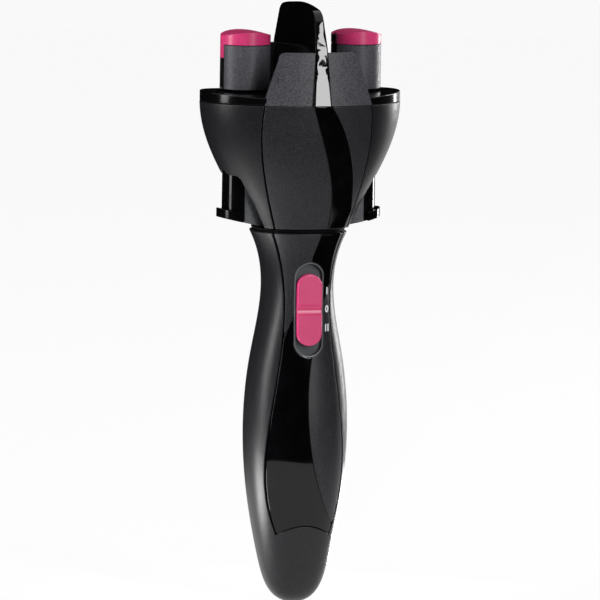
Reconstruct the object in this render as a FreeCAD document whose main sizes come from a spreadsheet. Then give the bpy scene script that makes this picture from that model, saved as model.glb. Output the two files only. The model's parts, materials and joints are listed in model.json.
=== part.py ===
import FreeCAD, Part
import Sketcher
import math
import os
import re
from FreeCAD import Rotation, Vector

# Automatic hair braider. +Z runs up the long axis, the front faces -Y, and the origin is at the
# lowest point of the handle, on the axis about which the head turns. All lengths are in mm.

SIZES = {
    # half width (X) and half depth (Y) of the handle at six heights
    "foot_width": 4.0, "foot_depth": 3.8,
    "heel_height": 3.2, "heel_width": 8.8, "heel_depth": 8.3,
    "taper_height": 19.0, "taper_width": 14.9, "taper_depth": 14.2,
    "belly_height": 68.0, "belly_width": 21.4, "belly_depth": 20.0,
    "grip_height": 102.0, "grip_width": 19.0, "grip_depth": 18.8,
    "waist_height": 129.0, "waist_width": 14.5, "waist_depth": 18.0,
    "neck_height": 157.0, "neck_width": 21.0, "neck_depth": 21.3,
    # half width and half depth of the head above the neck
    "rise_height": 172.0, "rise_width": 28.7, "rise_depth": 25.0,
    "shoulder_height": 188.0, "shoulder_width": 37.2, "shoulder_depth": 28.6,
    "rim_height": 209.0, "rim_width": 42.5, "rim_depth": 31.6,
    "neck_roundness": 2.3, "rim_roundness": 2.0, "head_stretch": 6.0,
    "wall": 2.2, "inlay_depth": 0.8, "seam_gap": 0.12, "running_gap": 0.35, "shaft_clearance": 0.05,
    "wall_clearance": 0.08,
    # front panel, its twist ribbon and the petal seams: half widths and edges at named heights
    "panel_bottom": 29.0, "panel_arch": 4.0, "panel_foot": 11.4, "panel_belly": 16.3, "panel_waist": 10.2,
    "panel_waist_height": 116.0, "panel_top": 15.4,
    "petal_neck": 16.0, "petal_rise": 20.0, "petal_shoulder": 23.0, "petal_rim": 23.2, "petal_lean": 1.0,
    "ribbon_top": 6.5, "ribbon_left": 3.1, "ribbon_fin": 4.3, "ribbon_swell": 15.5,
    # switch
    "switch_height": 123.3, "track_width": 12.6, "track_length": 39.6, "track_rim": 0.55, "track_depth": 2.3,
    "button_width": 10.6, "button_length": 30.0, "button_proud": 1.3, "button_edge": 0.7,
    "switch_travel": 4.0, "thumb_radius": 2.9, "thumb_set": 1.7, "board_width": 15.0, "board_length": 32.0,
    "board_thickness": 1.2,
    "board_drop": 3.1, "leg_radius": 1.4, "leg_length": 1.6, "leg_across": 5.0, "leg_up": 13.5,
    "wiper_width": 2.4, "wiper_length": 6.0, "wiper_gap": 0.3, "slide_gap": 0.25,
    # batteries
    "cell_radius": 7.25, "cell_length": 50.5, "cell_gap": 0.3, "cell_base": 40.5, "cell_cap_radius": 2.6,
    "cell_cap_height": 1.0, "contact_room": 3.6, "contact_radius": 3.4, "contact_wire": 0.35,
    "contact_turns": 3, "contact_plate": 0.4, "tray_wall": 1.6, "tray_width": 27.0, "tray_depth": 15.0,
    "tray_web": 8.0, "door_width": 27.0, "door_margin": 3.0, "door_gap": 0.25,
    # motor and gear train
    "motor_base": 103.5, "motor_length": 24.0, "motor_radius": 10.0, "motor_flat": 7.5, "motor_shaft": 1.0,
    "motor_cap": 2.2, "shaft_room": 0.4, "core_radius": 5.5, "core_base": 6.5, "core_top": 19.0,
    "commutator_radius": 2.2, "commutator_base": 3.0, "can_wall": 0.8,
    "train_module": 0.4, "wheel_teeth": 24, "pinion_teeth": 12, "wheel_thickness": 1.6,
    "plate_thickness": 1.4, "train_gap": 0.3, "axle_radius": 0.8, "drive_radius": 2.0,
    "pillar_x": 9.4, "pillar_y": 2.5, "pillar_radius": 1.9,
    # neck and head bearing
    "collar_height": 2.0, "collar_inset": 1.5, "spigot_height": 5.0, "tube_radius": 8.5, "tube_wall": 1.9,
    "tube_top": 172.6, "bush_wall": 1.5, "bush_seat": 1.8, "sun_radius": 3.4, "bush_height": 8.4,
    "base_height": 160.4, "base_thickness": 2.2, "retainer": 1.2, "sleeve_length": 11.0,
    "ring_radius": 14.6, "ring_width": 2.2, "ring_height": 1.6, "pawl_radius": 0.7, "pawl_room": 0.25,
    "ratchet_teeth": 12,
    # head: posts, hooks, gears, pushers
    "gear_module": 1.0, "gear_teeth": 24, "gear_thickness": 5.0, "gear_base": 199.6, "plate_top": 198.6,
    "gear_plate": 2.0, "post_gap": 0.8, "post_radius": 10.5, "post_height": 18.3, "panel_wall": 0.9,
    "post_tube": 4.6, "stem_radius": 1.9, "cap_height": 5.3, "cap_sag": 1.6, "cap_roof": 2.0, "cap_gap": 0.3,
    "spine_width": 5.0, "spine_drop": 5.7, "flat_reach": 9.7, "flat_width": 8.1, "rib_width": 4.6,
    "rib_reach": 10.2, "rib_gap": 0.15,
    "sleeve_radius": 8.9, "sleeve_wall": 1.4, "sleeve_top": 187.0, "sleeve_split": 1.8, "sleeve_lift": 0.4,
    "slot_half": 12.2, "slot_top": 178.6, "web_reach": 18.6, "web_wall": 1.2, "pocket_gap": 0.1,
    "underside_start": 18.0, "underside_slope": 0.21, "lip_reach": 2.2, "lip_wall": 1.2, "lip_height": 3.6,
    "lip_start": 3.4, "floor_height": 160.6, "floor_thickness": 1.6,
    "foot_radius": 3.9, "foot_thickness": 1.6, "spring_wire": 0.45, "spring_turns": 8, "spring_radius": 3.1,
    # cover, shields and fin
    "cover_thickness": 4.3, "cover_sag": 1.8, "cover_gap": 0.2, "cover_boss": 20.0,
    "shield_width": 23.2, "shield_top": 16.0, "shield_height": 21.9, "shield_wall": 3.0, "shield_lean": 1.6,
    "shield_corner": 3.0,
    "total_height": 250.0, "fin_reach": 33.4, "fin_mid_reach": 29.5, "fin_top_reach": 24.6, "fin_crown": 2.4,
    "fin_corner": 4.0, "fin_base": 7.8, "fin_top": 3.0, "fin_edge": 0.6,
    # fasteners and leads
    "screw_radius": 1.1, "screw_head": 2.1, "screw_length": 9.0, "head_thickness": 1.2, "thread_bite": 0.3,
    "boss_radius": 2.9, "shell_seat": 2.0, "shell_screw_x": 8.5, "shell_screw_height": 99.6,
    "lead_radius": 0.55, "lead_x": 4.9,
}

doc = FreeCAD.newDocument("HairBraider")
sheet = doc.addObject("Spreadsheet::Sheet", "Sizes")
for row, (alias, value) in enumerate(SIZES.items(), start=1):
    sheet.set(f"A{row}", alias)
    sheet.set(f"B{row}", str(value))
    sheet.setAlias(f"B{row}", alias)
doc.recompute()

nodes = []

# Lengths that follow from the driving sizes, written as formulas of the sheet's names
POST_X = "(gear_module * gear_teeth)"
IDLER_Y = "(train_module * (wheel_teeth + pinion_teeth) / 2)"
COVER_BASE = "(rim_height + cover_gap)"
COVER_TOP = "(rim_height + cover_gap + cover_thickness)"
POST_BASE = f"({COVER_TOP} + post_gap)"
POST_TOP = f"({POST_BASE} + post_height)"
CAP_BASE = f"({POST_TOP} + cap_gap)"
POST_CORE = "(post_radius - panel_wall)"
SLEEVE_BORE = "(sleeve_radius - sleeve_wall)"
CELL_X = "(cell_radius + cell_gap / 2)"
CELL_TOP = "(cell_base + cell_length)"
MOTOR_TOP = "(motor_base + motor_length)"
COLLAR_TOP = "(neck_height - running_gap)"
COLLAR_BASE = "(neck_height - collar_height)"
HEAD_BASE = "neck_height"
SWITCH_FLOOR = "(waist_depth - track_depth)"
TRAY_BASE = "(cell_base - contact_room - tray_wall)"
TRAY_TOP = f"({CELL_TOP} + contact_room)"
DOOR_BASE = f"({TRAY_BASE} - door_margin)"
DOOR_HEIGHT = f"({CELL_TOP} + tray_wall - {DOOR_BASE})"
SHELL_SCREWS = (("-shell_screw_x", "shell_screw_height"), ("shell_screw_x", "shell_screw_height"))


def formula(text):
    """The text as an expression that other objects of the document can read."""
    def named(word):
        return "Sizes." + word.group() if word.group() in SIZES else word.group()
    return re.sub(r"[a-z_]+", named, text)


def number(text):
    """The present value of a formula."""
    return float(sheet.evalExpression(text))


def bind(item, **formulas):
    """Binds properties to formulas of the sheet; x, y and z are the place."""
    for name, text in formulas.items():
        path = f".Placement.Base.{name}" if name in ("x", "y", "z") else name
        item.setExpression(path, formula(text))
    return item


def node(label, item):
    """Marks an object as a finished sub-part."""
    item.Label = label
    nodes.append(item)
    return item


def cylinder(radius, height, x="0", y="0", z="0", along=None):
    """A cylinder that stands on a point; along turns its axis from Z to another direction."""
    item = doc.addObject("Part::Cylinder", "Cylinder")
    if along:
        item.Placement.Rotation = Rotation(Vector(0, 0, 1), along)
    return bind(item, Radius=radius, Height=height, x=x, y=y, z=z)


def block(width, depth, height, x="0", y="0", z="0"):
    """A box centred on x and y that stands on z."""
    item = doc.addObject("Part::Box", "Block")
    return bind(item, Length=width, Width=depth, Height=height,
                x=f"({x}) - ({width}) / 2", y=f"({y}) - ({depth}) / 2", z=z)


def cut(base, *tools):
    for tool in tools:
        item = doc.addObject("Part::Cut", "Cut")
        item.Base = base
        item.Tool = tool
        base = item
    return base


def fuse(*parts):
    item = doc.addObject("Part::MultiFuse", "Fuse")
    item.Shapes = list(parts)
    item.Refine = True
    return item


def common(*parts):
    item = doc.addObject("Part::MultiCommon", "Common")
    item.Shapes = list(parts)
    return item


def tube(outer, inner, height, x="0", y="0", z="0"):
    return cut(cylinder(outer, height, x, y, z),
               cylinder(inner, f"({height}) + 2", x, y, f"({z}) - 1"))


def fixed(name, shape):
    """A feature whose shape is worked out here from the sheet's values."""
    item = doc.addObject("Part::Feature", name)
    item.Shape = shape
    return item


def rounded(item, radius, chosen):
    """Fillets the edges of a feature that a test on each edge picks."""
    doc.recompute()
    result = doc.addObject("Part::Fillet", "Rounded")
    result.Base = item
    size = number(radius)
    result.Edges = [(index, size, size) for index, edge in enumerate(item.Shape.Edges,
                                                                     start=1) if chosen(edge)]
    return result


def outline_sketch(body, plane, points):
    """A closed outline on one of the body's own planes, each corner tied to the sheet."""
    sketch = body.newObject("Sketcher::SketchObject", "Outline")
    origin_plane = [face for face in body.Origin.OriginFeatures if face.Role == plane]
    sketch.AttachmentSupport = [(origin_plane[0], "")]
    sketch.MapMode = "FlatFace"
    corners = [Vector(number(across), number(up), 0) for across, up in points]
    count = len(points)
    for index, corner in enumerate(corners):
        sketch.addGeometry(Part.LineSegment(corner, corners[(index + 1) % count]))
    for index in range(count):
        sketch.addConstraint(Sketcher.Constraint("Coincident", index, 2, (index + 1) % count, 1))
    for index, (across, up) in enumerate(points):
        for kind, text, value in (("DistanceX", across, corners[index].x), ("DistanceY", up,
                                                                            corners[index].y)):
            place = sketch.addConstraint(Sketcher.Constraint(kind, -1, 1, index, 1, value))
            sketch.setExpression(f"Constraints[{place}]", formula(text))
    return sketch


def turned(profile, x="0", y="0"):
    """A body of revolution about the vertical line through x and y; profile holds (radius, height)."""
    body = doc.addObject("PartDesign::Body", "Turned")
    sketch = outline_sketch(body, "XZ_Plane", profile)
    turn = body.newObject("PartDesign::Revolution", "Turn")
    turn.Profile = sketch
    turn.ReferenceAxis = (sketch, ["V_Axis"])
    turn.Angle = 360
    return bind(body, x=x, y=y)


def gear(teeth, module, base, thickness, bore, facing, x="0", y="0"):
    """A spur gear: a turned blank and one padded tooth, repeated about the axis. facing turns the first
    tooth away from +X, in degrees."""
    body = doc.addObject("PartDesign::Body", "Gear")
    pitch = f"{module} * {teeth} / 2"
    root = f"({pitch} - 1.2 * {module})"
    top = f"({base} + {thickness})"
    blank = body.newObject("PartDesign::Revolution", "Blank")
    blank.Profile = outline_sketch(body, "XZ_Plane", [(bore, base), (root, base), (root, top), (bore, top)])
    blank.ReferenceAxis = (blank.Profile[0], ["V_Axis"])
    blank.Angle = 360
    half_widths = [(f"{root} - 0.2 * {module}", 0.85), (f"{pitch} - 0.5 * {module}", 0.76), (pitch, 0.60),
                   (f"{pitch} + 0.5 * {module}", 0.42), (f"{pitch} + 0.9 * {module}", 0.25)]
    flank = [(radius, f"{share} * {module}") for radius, share in half_widths]
    other_flank = [(radius, f"-{share} * {module}") for radius, share in reversed(half_widths)]
    sketch = outline_sketch(body, "XY_Plane", flank + other_flank)
    sketch.setExpression(".AttachmentOffset.Base.z", formula(base))
    tooth = body.newObject("PartDesign::Pad", "Tooth")
    tooth.Profile = sketch
    tooth.setExpression("Length", formula(thickness))
    doc.recompute()
    ring = body.newObject("PartDesign::PolarPattern", "Teeth")
    ring.Originals = [tooth]
    ring.Axis = ([line for line in body.Origin.OriginFeatures if line.Role == "Z_Axis"][0], [""])
    ring.Angle = 360
    ring.setExpression("Occurrences", formula(teeth))
    body.Tip = ring
    body.Placement.Rotation = Rotation(Vector(0, 0, 1), 1)
    body.setExpression(".Placement.Rotation.Angle", formula(facing))
    return bind(body, x=x, y=y)


# ---- the outer form -------------------------------------------------------------------------------

HANDLE_STATIONS = ("foot", "heel", "taper", "belly", "grip", "waist", "neck")
HEAD_STATIONS = ("neck", "rise", "shoulder", "rim")


def station(name):
    """Half width, half depth and height of the outer form at a named station."""
    height = 0.0 if name == "foot" else number(f"{name}_height")
    return Vector(number(f"{name}_width"), number(f"{name}_depth"), height)


def oval(width, depth, height, roundness):
    """A closed smooth section, an ellipse that grows squarer as roundness passes 2."""
    points = []
    count = 20
    for step in range(count):
        angle = 2 * math.pi * step / count
        across, along = math.cos(angle), math.sin(angle)
        points.append(Vector(width * math.copysign(abs(across) ** (2 / roundness), across),
                             depth * math.copysign(abs(along) ** (2 / roundness), along), height))
    curve = Part.BSplineCurve()
    curve.interpolate(points, PeriodicFlag=True)
    return Part.Wire(curve.toShape())


def outer_line(stations):
    line = Part.BSplineCurve()
    line.interpolate([station(name) for name in stations])
    return line


def head_roundness(height):
    """The head's roundness at a height, which falls evenly from the neck's to the rim's."""
    low, high = number("neck_height"), number("rim_height + head_stretch")
    change = number("rim_roundness - neck_roundness")
    return number("neck_roundness") + change * (height - low) / (high - low)


def head_slab(base, top, inset):
    """A level slice of the solid inside the head's form, between two heights."""
    line = outer_line(HEAD_STATIONS)
    wires = []
    for height in (base, top):
        low, high = line.FirstParameter, line.LastParameter
        for _ in range(40):
            middle = (low + high) / 2
            low, high = (middle, high) if line.value(middle).z < height else (low, middle)
        size = line.value(low)
        wires.append(oval(size.x - inset, size.y - inset, height, head_roundness(height)))
    return Part.makeLoft(wires, True, True)


def skin(stations, sections, inset, roundness, stretch):
    """The solid inside the outer form, set in by a wall. stretch carries the top on past its station."""
    points = outer_line(stations).discretize(Number=sections)
    if stretch:
        points.append(points[-1] + (points[-1] - points[-2]).normalize() * stretch)
    span = points[-1].z - points[0].z
    wires = []
    for point in points:
        share = (point.z - points[0].z) / span
        if point.x - inset > 1.5:
            blend = roundness[0] + (roundness[1] - roundness[0]) * share
            wires.append(oval(point.x - inset, point.y - inset, point.z, blend))
    return Part.makeLoft(wires, True, False)


forms = {}


def form(name, inset, stations, sections, roundness, stretch=0.0):
    """One form of the document for each part and inset, shared by all that is cut from it."""
    if (name, inset) not in forms:
        forms[name, inset] = fixed(name, skin(stations, sections, inset, roundness, stretch))
    return forms[name, inset]


def handle_skin(inset):
    squareness = number("neck_roundness")
    return form("HandleForm", inset, HANDLE_STATIONS, 13, (squareness, squareness))


def head_skin(inset):
    roundness = (number("neck_roundness"), number("rim_roundness"))
    return form("HeadForm", inset, HEAD_STATIONS, 9, roundness, number("head_stretch"))


def curve_edge(points):
    """One edge in the XZ plane: straight through two points, smooth through more."""
    corners = [Vector(across, 0, up) for across, up in points]
    if len(corners) == 2:
        return Part.makeLine(*corners)
    curve = Part.BSplineCurve()
    curve.interpolate(corners)
    return curve.toShape()


def front_prism(*edges, reach=60.0):
    """A prism along -Y from the XZ plane. Each edge is a list of (across, up); they join end to end."""
    face = Part.Face(Part.Wire([curve_edge(points) for points in edges]))
    return face.extrude(Vector(0, -reach, 0))


def level_prism(corners, half_depth):
    """A prism along Y, as deep behind the XZ plane as before it; corners holds (across, up)."""
    points = [Vector(across, half_depth, up) for across, up in corners]
    return Part.Face(Part.makePolygon(points + points[:1])).extrude(Vector(0, -2 * half_depth, 0))


def half_turned(item):
    """The same solid, turned half a turn about the head's axis."""
    shape = item.Shape.copy()
    shape.rotate(Vector(0, 0, 0), Vector(0, 0, 1), 180)
    return shape


# ---- handle casing --------------------------------------------------------------------------------

def below_collar():
    return block("100", "100", COLLAR_BASE)


def casing():
    """The whole handle wall, up to the neck collar."""
    if "casing" not in forms:
        forms["casing"] = common(cut(handle_skin(0), handle_skin(number("wall"))), below_collar())
    return forms["casing"]


def seam(side, inset):
    """One seam of the front panel, from its foot to the collar."""
    heights = ("panel_bottom", "belly_height", "panel_waist_height", COLLAR_BASE)
    widths = ("panel_foot", "panel_belly", "panel_waist", "panel_top")
    points = [(side * (number(width) - inset), number(height)) for width, height in zip(widths, heights)]
    return [(points[0][0], points[0][1] + inset)] + points[1:]


def panel_prism(inset=0.0):
    left, right = seam(-1, inset), seam(1, inset)
    top = number(COLLAR_BASE) + 5
    foot = [left[0], (0, number("panel_bottom + panel_arch") + inset), right[0]]
    corners = [(left[-1][0], top), (right[-1][0], top)]
    return front_prism(left, [left[-1], corners[0]], corners, [corners[1], right[-1]], right[::-1],
                       foot[::-1])


def handle_ribbon_prism():
    """The gloss band that crosses the panel: in from the head, under the switch, out by the left seam."""
    top, waist, grip = number(COLLAR_BASE), number("waist_height"), number("grip_height")
    edge = number("ribbon_top")
    left = [(edge, top + 5), (edge - 2.0, top), (-0.28 * number("waist_width"), waist), (-13.0, grip + 3)]
    right = [(19.0, top), (0.56 * number("waist_width"), waist + 1), (0.9, grip), (0.0,
                                                                                   number("belly_height") + 7),
             (4.5, number("belly_height") - 17), (15.0, number("panel_bottom"))]
    low = (-30.0, number("panel_bottom"))
    side = (-30.0, left[-1][1])
    return front_prism(left, [left[-1], side], [side, low], [low, right[-1]], right[::-1], [right[0],
                                                                                            left[0]])


def slot_prism(width, length, start, reach):
    """A round-ended upright prism about the switch's centre, from a depth behind the front, outwards."""
    half = f"(({length}) - ({width})) / 2"
    ends = [cylinder(f"({width}) / 2", reach, "0", f"-({start})", f"switch_height + {sign} {half}",
                     Vector(0, -1, 0))
            for sign in "+-"]
    middle = block(width, reach, f"({length}) - ({width})", "0", f"-({start}) - ({reach}) / 2",
                   f"switch_height - {half}")
    return fuse(middle, *ends)


def screw_boss(facing, x, z):
    """A boss from the middle of the handle out to the rear wall, facing 1, or the front wall, facing -1."""
    return common(cylinder("boss_radius", "30", x, "0", z, Vector(0, facing, 0)),
                  handle_skin(number("wall") / 2))


def make_handle():
    opening = slot_prism("track_width", "track_length", "waist_depth - 6", "20")
    layer = cut(handle_skin(0), handle_skin(number("inlay_depth")))
    gap = number("seam_gap")
    inside_panel = fixed("PanelPrism", panel_prism(gap))
    ribbon = common(layer, inside_panel, fixed("RibbonPrism", handle_ribbon_prism()), below_collar())
    node("handle_ribbon", cut(ribbon, opening))
    front_bosses = [screw_boss(-1, x, z) for x, z in SHELL_SCREWS]
    bores = [cylinder("screw_radius", "30", x, "-(screw_length + 0.5)", z, Vector(0, 1, 0))
             for x, z in SHELL_SCREWS]
    panel = common(casing(), fixed("PanelPrism", panel_prism(gap)))
    panel = cut(fuse(panel, *front_bosses), ribbon, opening, *bores)
    node("handle_front_panel", panel)

    door_hole = door_block("door_gap")
    rear_bosses = [screw_boss(1, x, z) for x, z in SHELL_SCREWS]
    heads = [cylinder("screw_head + 0.2", "30", x, "shell_seat", z, Vector(0, 1, 0)) for x, z in SHELL_SCREWS]
    rear = cut(casing(), fixed("PanelPrism", panel_prism()), door_hole)
    rear = cut(fuse(rear, *rear_bosses), *bores, *heads, door_hole)
    node("handle_rear_shell", rear)
    node("battery_door", common(casing(), door_block("0")))


def door_block(gap):
    return block(f"door_width + 2 * ({gap})", "40", f"{DOOR_HEIGHT} + 2 * ({gap})", "0", "25",
                 f"{DOOR_BASE} - ({gap})")


def make_switch():
    rim = "(track_width - 2 * track_rim)"
    length = "(track_length - 2 * track_rim)"
    body = common(slot_prism("track_width", "track_length", f"{SWITCH_FLOOR} - 1", "8"), handle_skin(0))
    legs = [cylinder("leg_radius", "leg_length", f"{side}leg_across", f"-{SWITCH_FLOOR} + 0.9",
                     f"switch_height {rise} leg_up", Vector(0, 1, 0)) for side in ("-", "") for rise in "+-"]
    body = fuse(cut(body, slot_prism(rim, length, SWITCH_FLOOR, "12")), *legs)
    wiper_slot = block("wiper_width + 2 * wiper_gap", "4", "wiper_length + 2 * (wiper_gap + switch_travel)",
                       "0",
                       f"-{SWITCH_FLOOR} + 0.5",
                       "switch_height - wiper_length / 2 - wiper_gap - switch_travel")
    node("switch_track", cut(body, wiper_slot))
    rise = "(track_depth + button_proud - slide_gap)"
    grip = slot_prism("button_width", "button_length", f"{SWITCH_FLOOR} + slide_gap", rise)
    groove = cylinder("thumb_radius", "20", "-10", "-(waist_depth + button_proud + thumb_set)",
                      "switch_height", Vector(1, 0, 0))
    face = -number("waist_depth + button_proud")
    grip = rounded(grip, "button_edge",
                   lambda edge: all(abs(point.Point.y - face) < 0.01 for point in edge.Vertexes))
    node("switch_button", cut(grip, groove))
    pin = block("wiper_width", "2.6", "wiper_length", "0", f"-{SWITCH_FLOOR} + 1.05",
                "switch_height - wiper_length / 2")
    bar = block("9", "0.4", "4", "0", f"-{SWITCH_FLOOR} + 2.15", "switch_height - 2")
    node("switch_wiper", fuse(pin, bar))
    node("switch_board", block("board_width", "board_thickness", "board_length", "0",
                               f"-{SWITCH_FLOOR} + board_drop", "switch_height - board_length / 2"))


def make_batteries():
    cells = []
    for side in ("-", ""):
        nub = f"{CELL_TOP} + cell_cap_height" if side else "cell_base - cell_cap_height"
        edge, other = (CELL_TOP, "cell_base") if side else ("cell_base", CELL_TOP)
        profile = [("0", other), ("cell_radius", other), ("cell_radius", edge), ("cell_cap_radius", edge),
                   ("cell_cap_radius", nub), ("0", nub)]
        cells.append(turned(profile, f"{side}{CELL_X}"))
    doc.recompute()
    node("batteries", fixed("Cells", Part.makeCompound([cell.Shape for cell in cells])))
    back = "(cell_radius + tray_wall / 2 + 0.1)"
    height = f"({TRAY_TOP} + tray_wall - {TRAY_BASE})"
    plate = block("tray_width", "tray_wall", height, "0", f"-{back}", TRAY_BASE)
    walls = [block("tray_width", "tray_depth", "tray_wall", "0", "0", z) for z in (TRAY_BASE, TRAY_TOP)]
    webs = [block("tray_wall", "10", height, f"{side}tray_web", f"-{back} - 5", TRAY_BASE) for side in ("-",
                                                                                                        "")]
    node("battery_tray", common(fuse(plate, *walls, *webs), handle_skin(number("wall + 0.02"))))
    spring = "contact_room - 0.5"
    button = "contact_room - cell_cap_height - 0.5"
    strip = block("22", "6", "contact_plate", "0", "0", f"{TRAY_BASE} + tray_wall")
    low_spring = coil("contact_radius", "contact_wire", spring, "contact_turns",
                      f"{TRAY_BASE} + tray_wall + contact_plate + 0.05", f"-{CELL_X}")
    high_spring = coil("contact_radius", "contact_wire", spring, "contact_turns", f"{CELL_TOP} + 0.05",
                       CELL_X)
    pads = [block("6", "6", "contact_plate", f"{side}{CELL_X}", "0", f"{TRAY_TOP} - contact_plate")
            for side in ("-", "")]
    buttons = [cylinder("1.8", button, f"-{CELL_X}", "0", f"{CELL_TOP} + cell_cap_height + 0.1"),
               cylinder("1.8", button, CELL_X, "0", f"{TRAY_BASE} + tray_wall + contact_plate")]
    doc.recompute()
    parts = [strip, low_spring, high_spring] + pads + buttons
    node("battery_terminals", fixed("Terminals", Part.makeCompound([part.Shape for part in parts])))


def coil(radius, wire, height, turns, base, x):
    """A wire spring that stands on base."""
    length = number(height) - 2 * number(wire)
    helix = Part.makeHelix(length / int(number(turns)), length, number(radius))
    ring = Part.Wire(Part.makeCircle(number(wire), Vector(number(radius), 0, 0), Vector(0, 1, 0)))
    solid = Part.Wire(helix).makePipeShell([ring], True, True)
    item = fixed("Spring", Part.Solid(solid) if solid.ShapeType == "Shell" else solid)
    return bind(item, x=x, z=f"{base} + {wire}")


def layer_base(layer):
    return f"({MOTOR_TOP} + plate_thickness + train_gap + {layer} * (wheel_thickness + train_gap))"


def make_motor():
    def flats(radius, half, height, z):
        return common(cylinder(radius, height, "0", "0", z), block("40", f"2 * ({half})", height, "0", "0",
                                                                   z))
    inner_radius, inner_flat = "motor_radius - can_wall", "motor_flat - can_wall"
    inner = flats(inner_radius, inner_flat, "motor_length - can_wall + 1", "motor_base - 1")
    can = cut(flats("motor_radius", "motor_flat", "motor_length", "motor_base"), inner,
              cylinder("motor_shaft + shaft_room", "10", "0", "0", f"{MOTOR_TOP} - 5"))
    node("motor_can", can)
    cap = flats(inner_radius, inner_flat, "motor_cap", "motor_base")
    node("motor_end_cap", cut(cap, cylinder("motor_shaft + shaft_clearance", "8", "0", "0",
                                            "motor_base - 2")))
    tip = f"({layer_base(0)} + wheel_thickness)"
    profile = [("0", "motor_base"), ("motor_shaft", "motor_base"), ("motor_shaft",
                                                                    "motor_base + commutator_base"),
               ("commutator_radius", "motor_base + commutator_base"),
               ("commutator_radius", "motor_base + core_base - 0.5"), ("core_radius",
                                                                       "motor_base + core_base"),
               ("core_radius", "motor_base + core_top"), ("motor_shaft", "motor_base + core_top"),
               ("motor_shaft", tip), ("0", tip)]
    node("motor_armature", turned(profile))
    node("motor_pinion", gear("pinion_teeth", "train_module", layer_base(0), "wheel_thickness", "motor_shaft",
                              "90 + 180 / pinion_teeth"))


def cluster(wheel_layer, facing, y):
    """A wheel and the smaller pinion on top of it, in one moulding."""
    bore = "axle_radius + shaft_clearance"
    wheel = gear("wheel_teeth", "train_module", layer_base(wheel_layer), "wheel_thickness", bore, facing, y=y)
    pinion = gear("pinion_teeth", "train_module", f"{layer_base(wheel_layer)} + wheel_thickness",
                  "wheel_thickness + train_gap", bore, f"{facing} + 180 / pinion_teeth", y=y)
    return fuse(wheel, pinion)


def make_gearbox():
    node("cluster_gear_1", cluster(0, "270", IDLER_Y))
    node("cluster_gear_2", cluster(1, "90", "0"))
    node("cluster_gear_3", cluster(2, "270", IDLER_Y))
    wheel_top = f"({layer_base(3)} + wheel_thickness)"
    upper = f"({wheel_top} + train_gap)"
    wheel = gear("wheel_teeth", "train_module", layer_base(3), "wheel_thickness", "axle_radius", "90")
    spigot = cylinder("axle_radius", f"{wheel_top} - {layer_base(1)} + 0.1", "0", "0",
                      f"{layer_base(1)} - 0.1")
    shaft = cylinder("drive_radius", f"tube_top - 4 - {wheel_top}", "0", "0", wheel_top)
    node("output_gear", fuse(wheel, spigot, shaft))

    def plate(z):
        return common(block("60", "30", "plate_thickness", "0", "5", z), handle_skin(number("wall + 0.02")))
    pillars = [("-pillar_x", "pillar_y"), ("pillar_x", "pillar_y")]
    posts = [cylinder("pillar_radius", f"{upper} - {MOTOR_TOP} - plate_thickness", x, y,
                      f"{MOTOR_TOP} + plate_thickness") for x, y in pillars]
    motor_hole = cylinder("motor_shaft + shaft_room", "8", "0", "0", f"{MOTOR_TOP} - 3")
    bores = [cylinder("screw_radius - thread_bite", "20", x, y, f"{upper} - 6") for x, y in pillars]
    axle_hole = cylinder("axle_radius", "30", "0", IDLER_Y, f"{MOTOR_TOP} - 3")
    node("gearbox_lower_plate", cut(fuse(plate(MOTOR_TOP), *posts), motor_hole, axle_hole, *bores))
    holes = [cylinder("screw_radius", "8", x, y, f"{upper} - 3") for x, y in pillars]
    drive_hole = cylinder("drive_radius + shaft_clearance", "8", "0", "0", f"{upper} - 3")
    node("gearbox_upper_plate", cut(plate(upper), drive_hole, axle_hole, *holes))
    axle = cylinder("axle_radius", f"{upper} + plate_thickness - {MOTOR_TOP}", "0", IDLER_Y, MOTOR_TOP)
    node("idler_axle", axle)
    screws = [down_screw(x, y, f"{upper} + plate_thickness") for x, y in pillars]
    screws += [shell_screw(x, z) for x, z in SHELL_SCREWS]
    doc.recompute()
    node("handle_screws", fixed("Screws", Part.makeCompound([screw.Shape for screw in screws])))


def down_screw(x, y, z):
    """A screw whose head sits on z, with its shank below."""
    return fuse(cylinder("screw_radius - thread_bite", "5", x, y, f"{z} - 5"),
                cylinder("screw_head", "head_thickness", x, y, z))


def shell_screw(x, z):
    """A screw from the rear shell into the front panel's boss."""
    return fuse(cylinder("screw_radius", "screw_length", x, "shell_seat + 0.4 - screw_length", z, Vector(0,
                                                                                                         1,
                                                                                                         0)),
                cylinder("screw_head", "head_thickness", x, "shell_seat", z, Vector(0, 1, 0)))


def lead(points):
    """An insulated lead along straight runs joined by round bends."""
    radius = number("lead_radius")
    bend = 2.4 * radius
    corners = [Vector(*point) for point in points]
    edges = []
    start = corners[0]
    for before, corner, after in zip(corners, corners[1:], corners[2:]):
        inward, outward = (before - corner).normalize(), (after - corner).normalize()
        reach = min(bend, 0.45 * (before - corner).Length, 0.45 * (after - corner).Length)
        first, last = corner + inward * reach, corner + outward * reach
        middle = corner + (inward + outward) * (reach * 0.29)
        edges += [Part.makeLine(start, first), Part.Arc(first, middle, last).toShape()]
        start = last
    edges.append(Part.makeLine(start, corners[-1]))
    path = Part.Wire(edges)
    ring = Part.Wire(Part.makeCircle(radius, corners[0], corners[1] - corners[0]))
    return path.makePipeShell([ring], True, True)


# ---- neck and head bearing ------------------------------------------------------------------------

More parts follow.
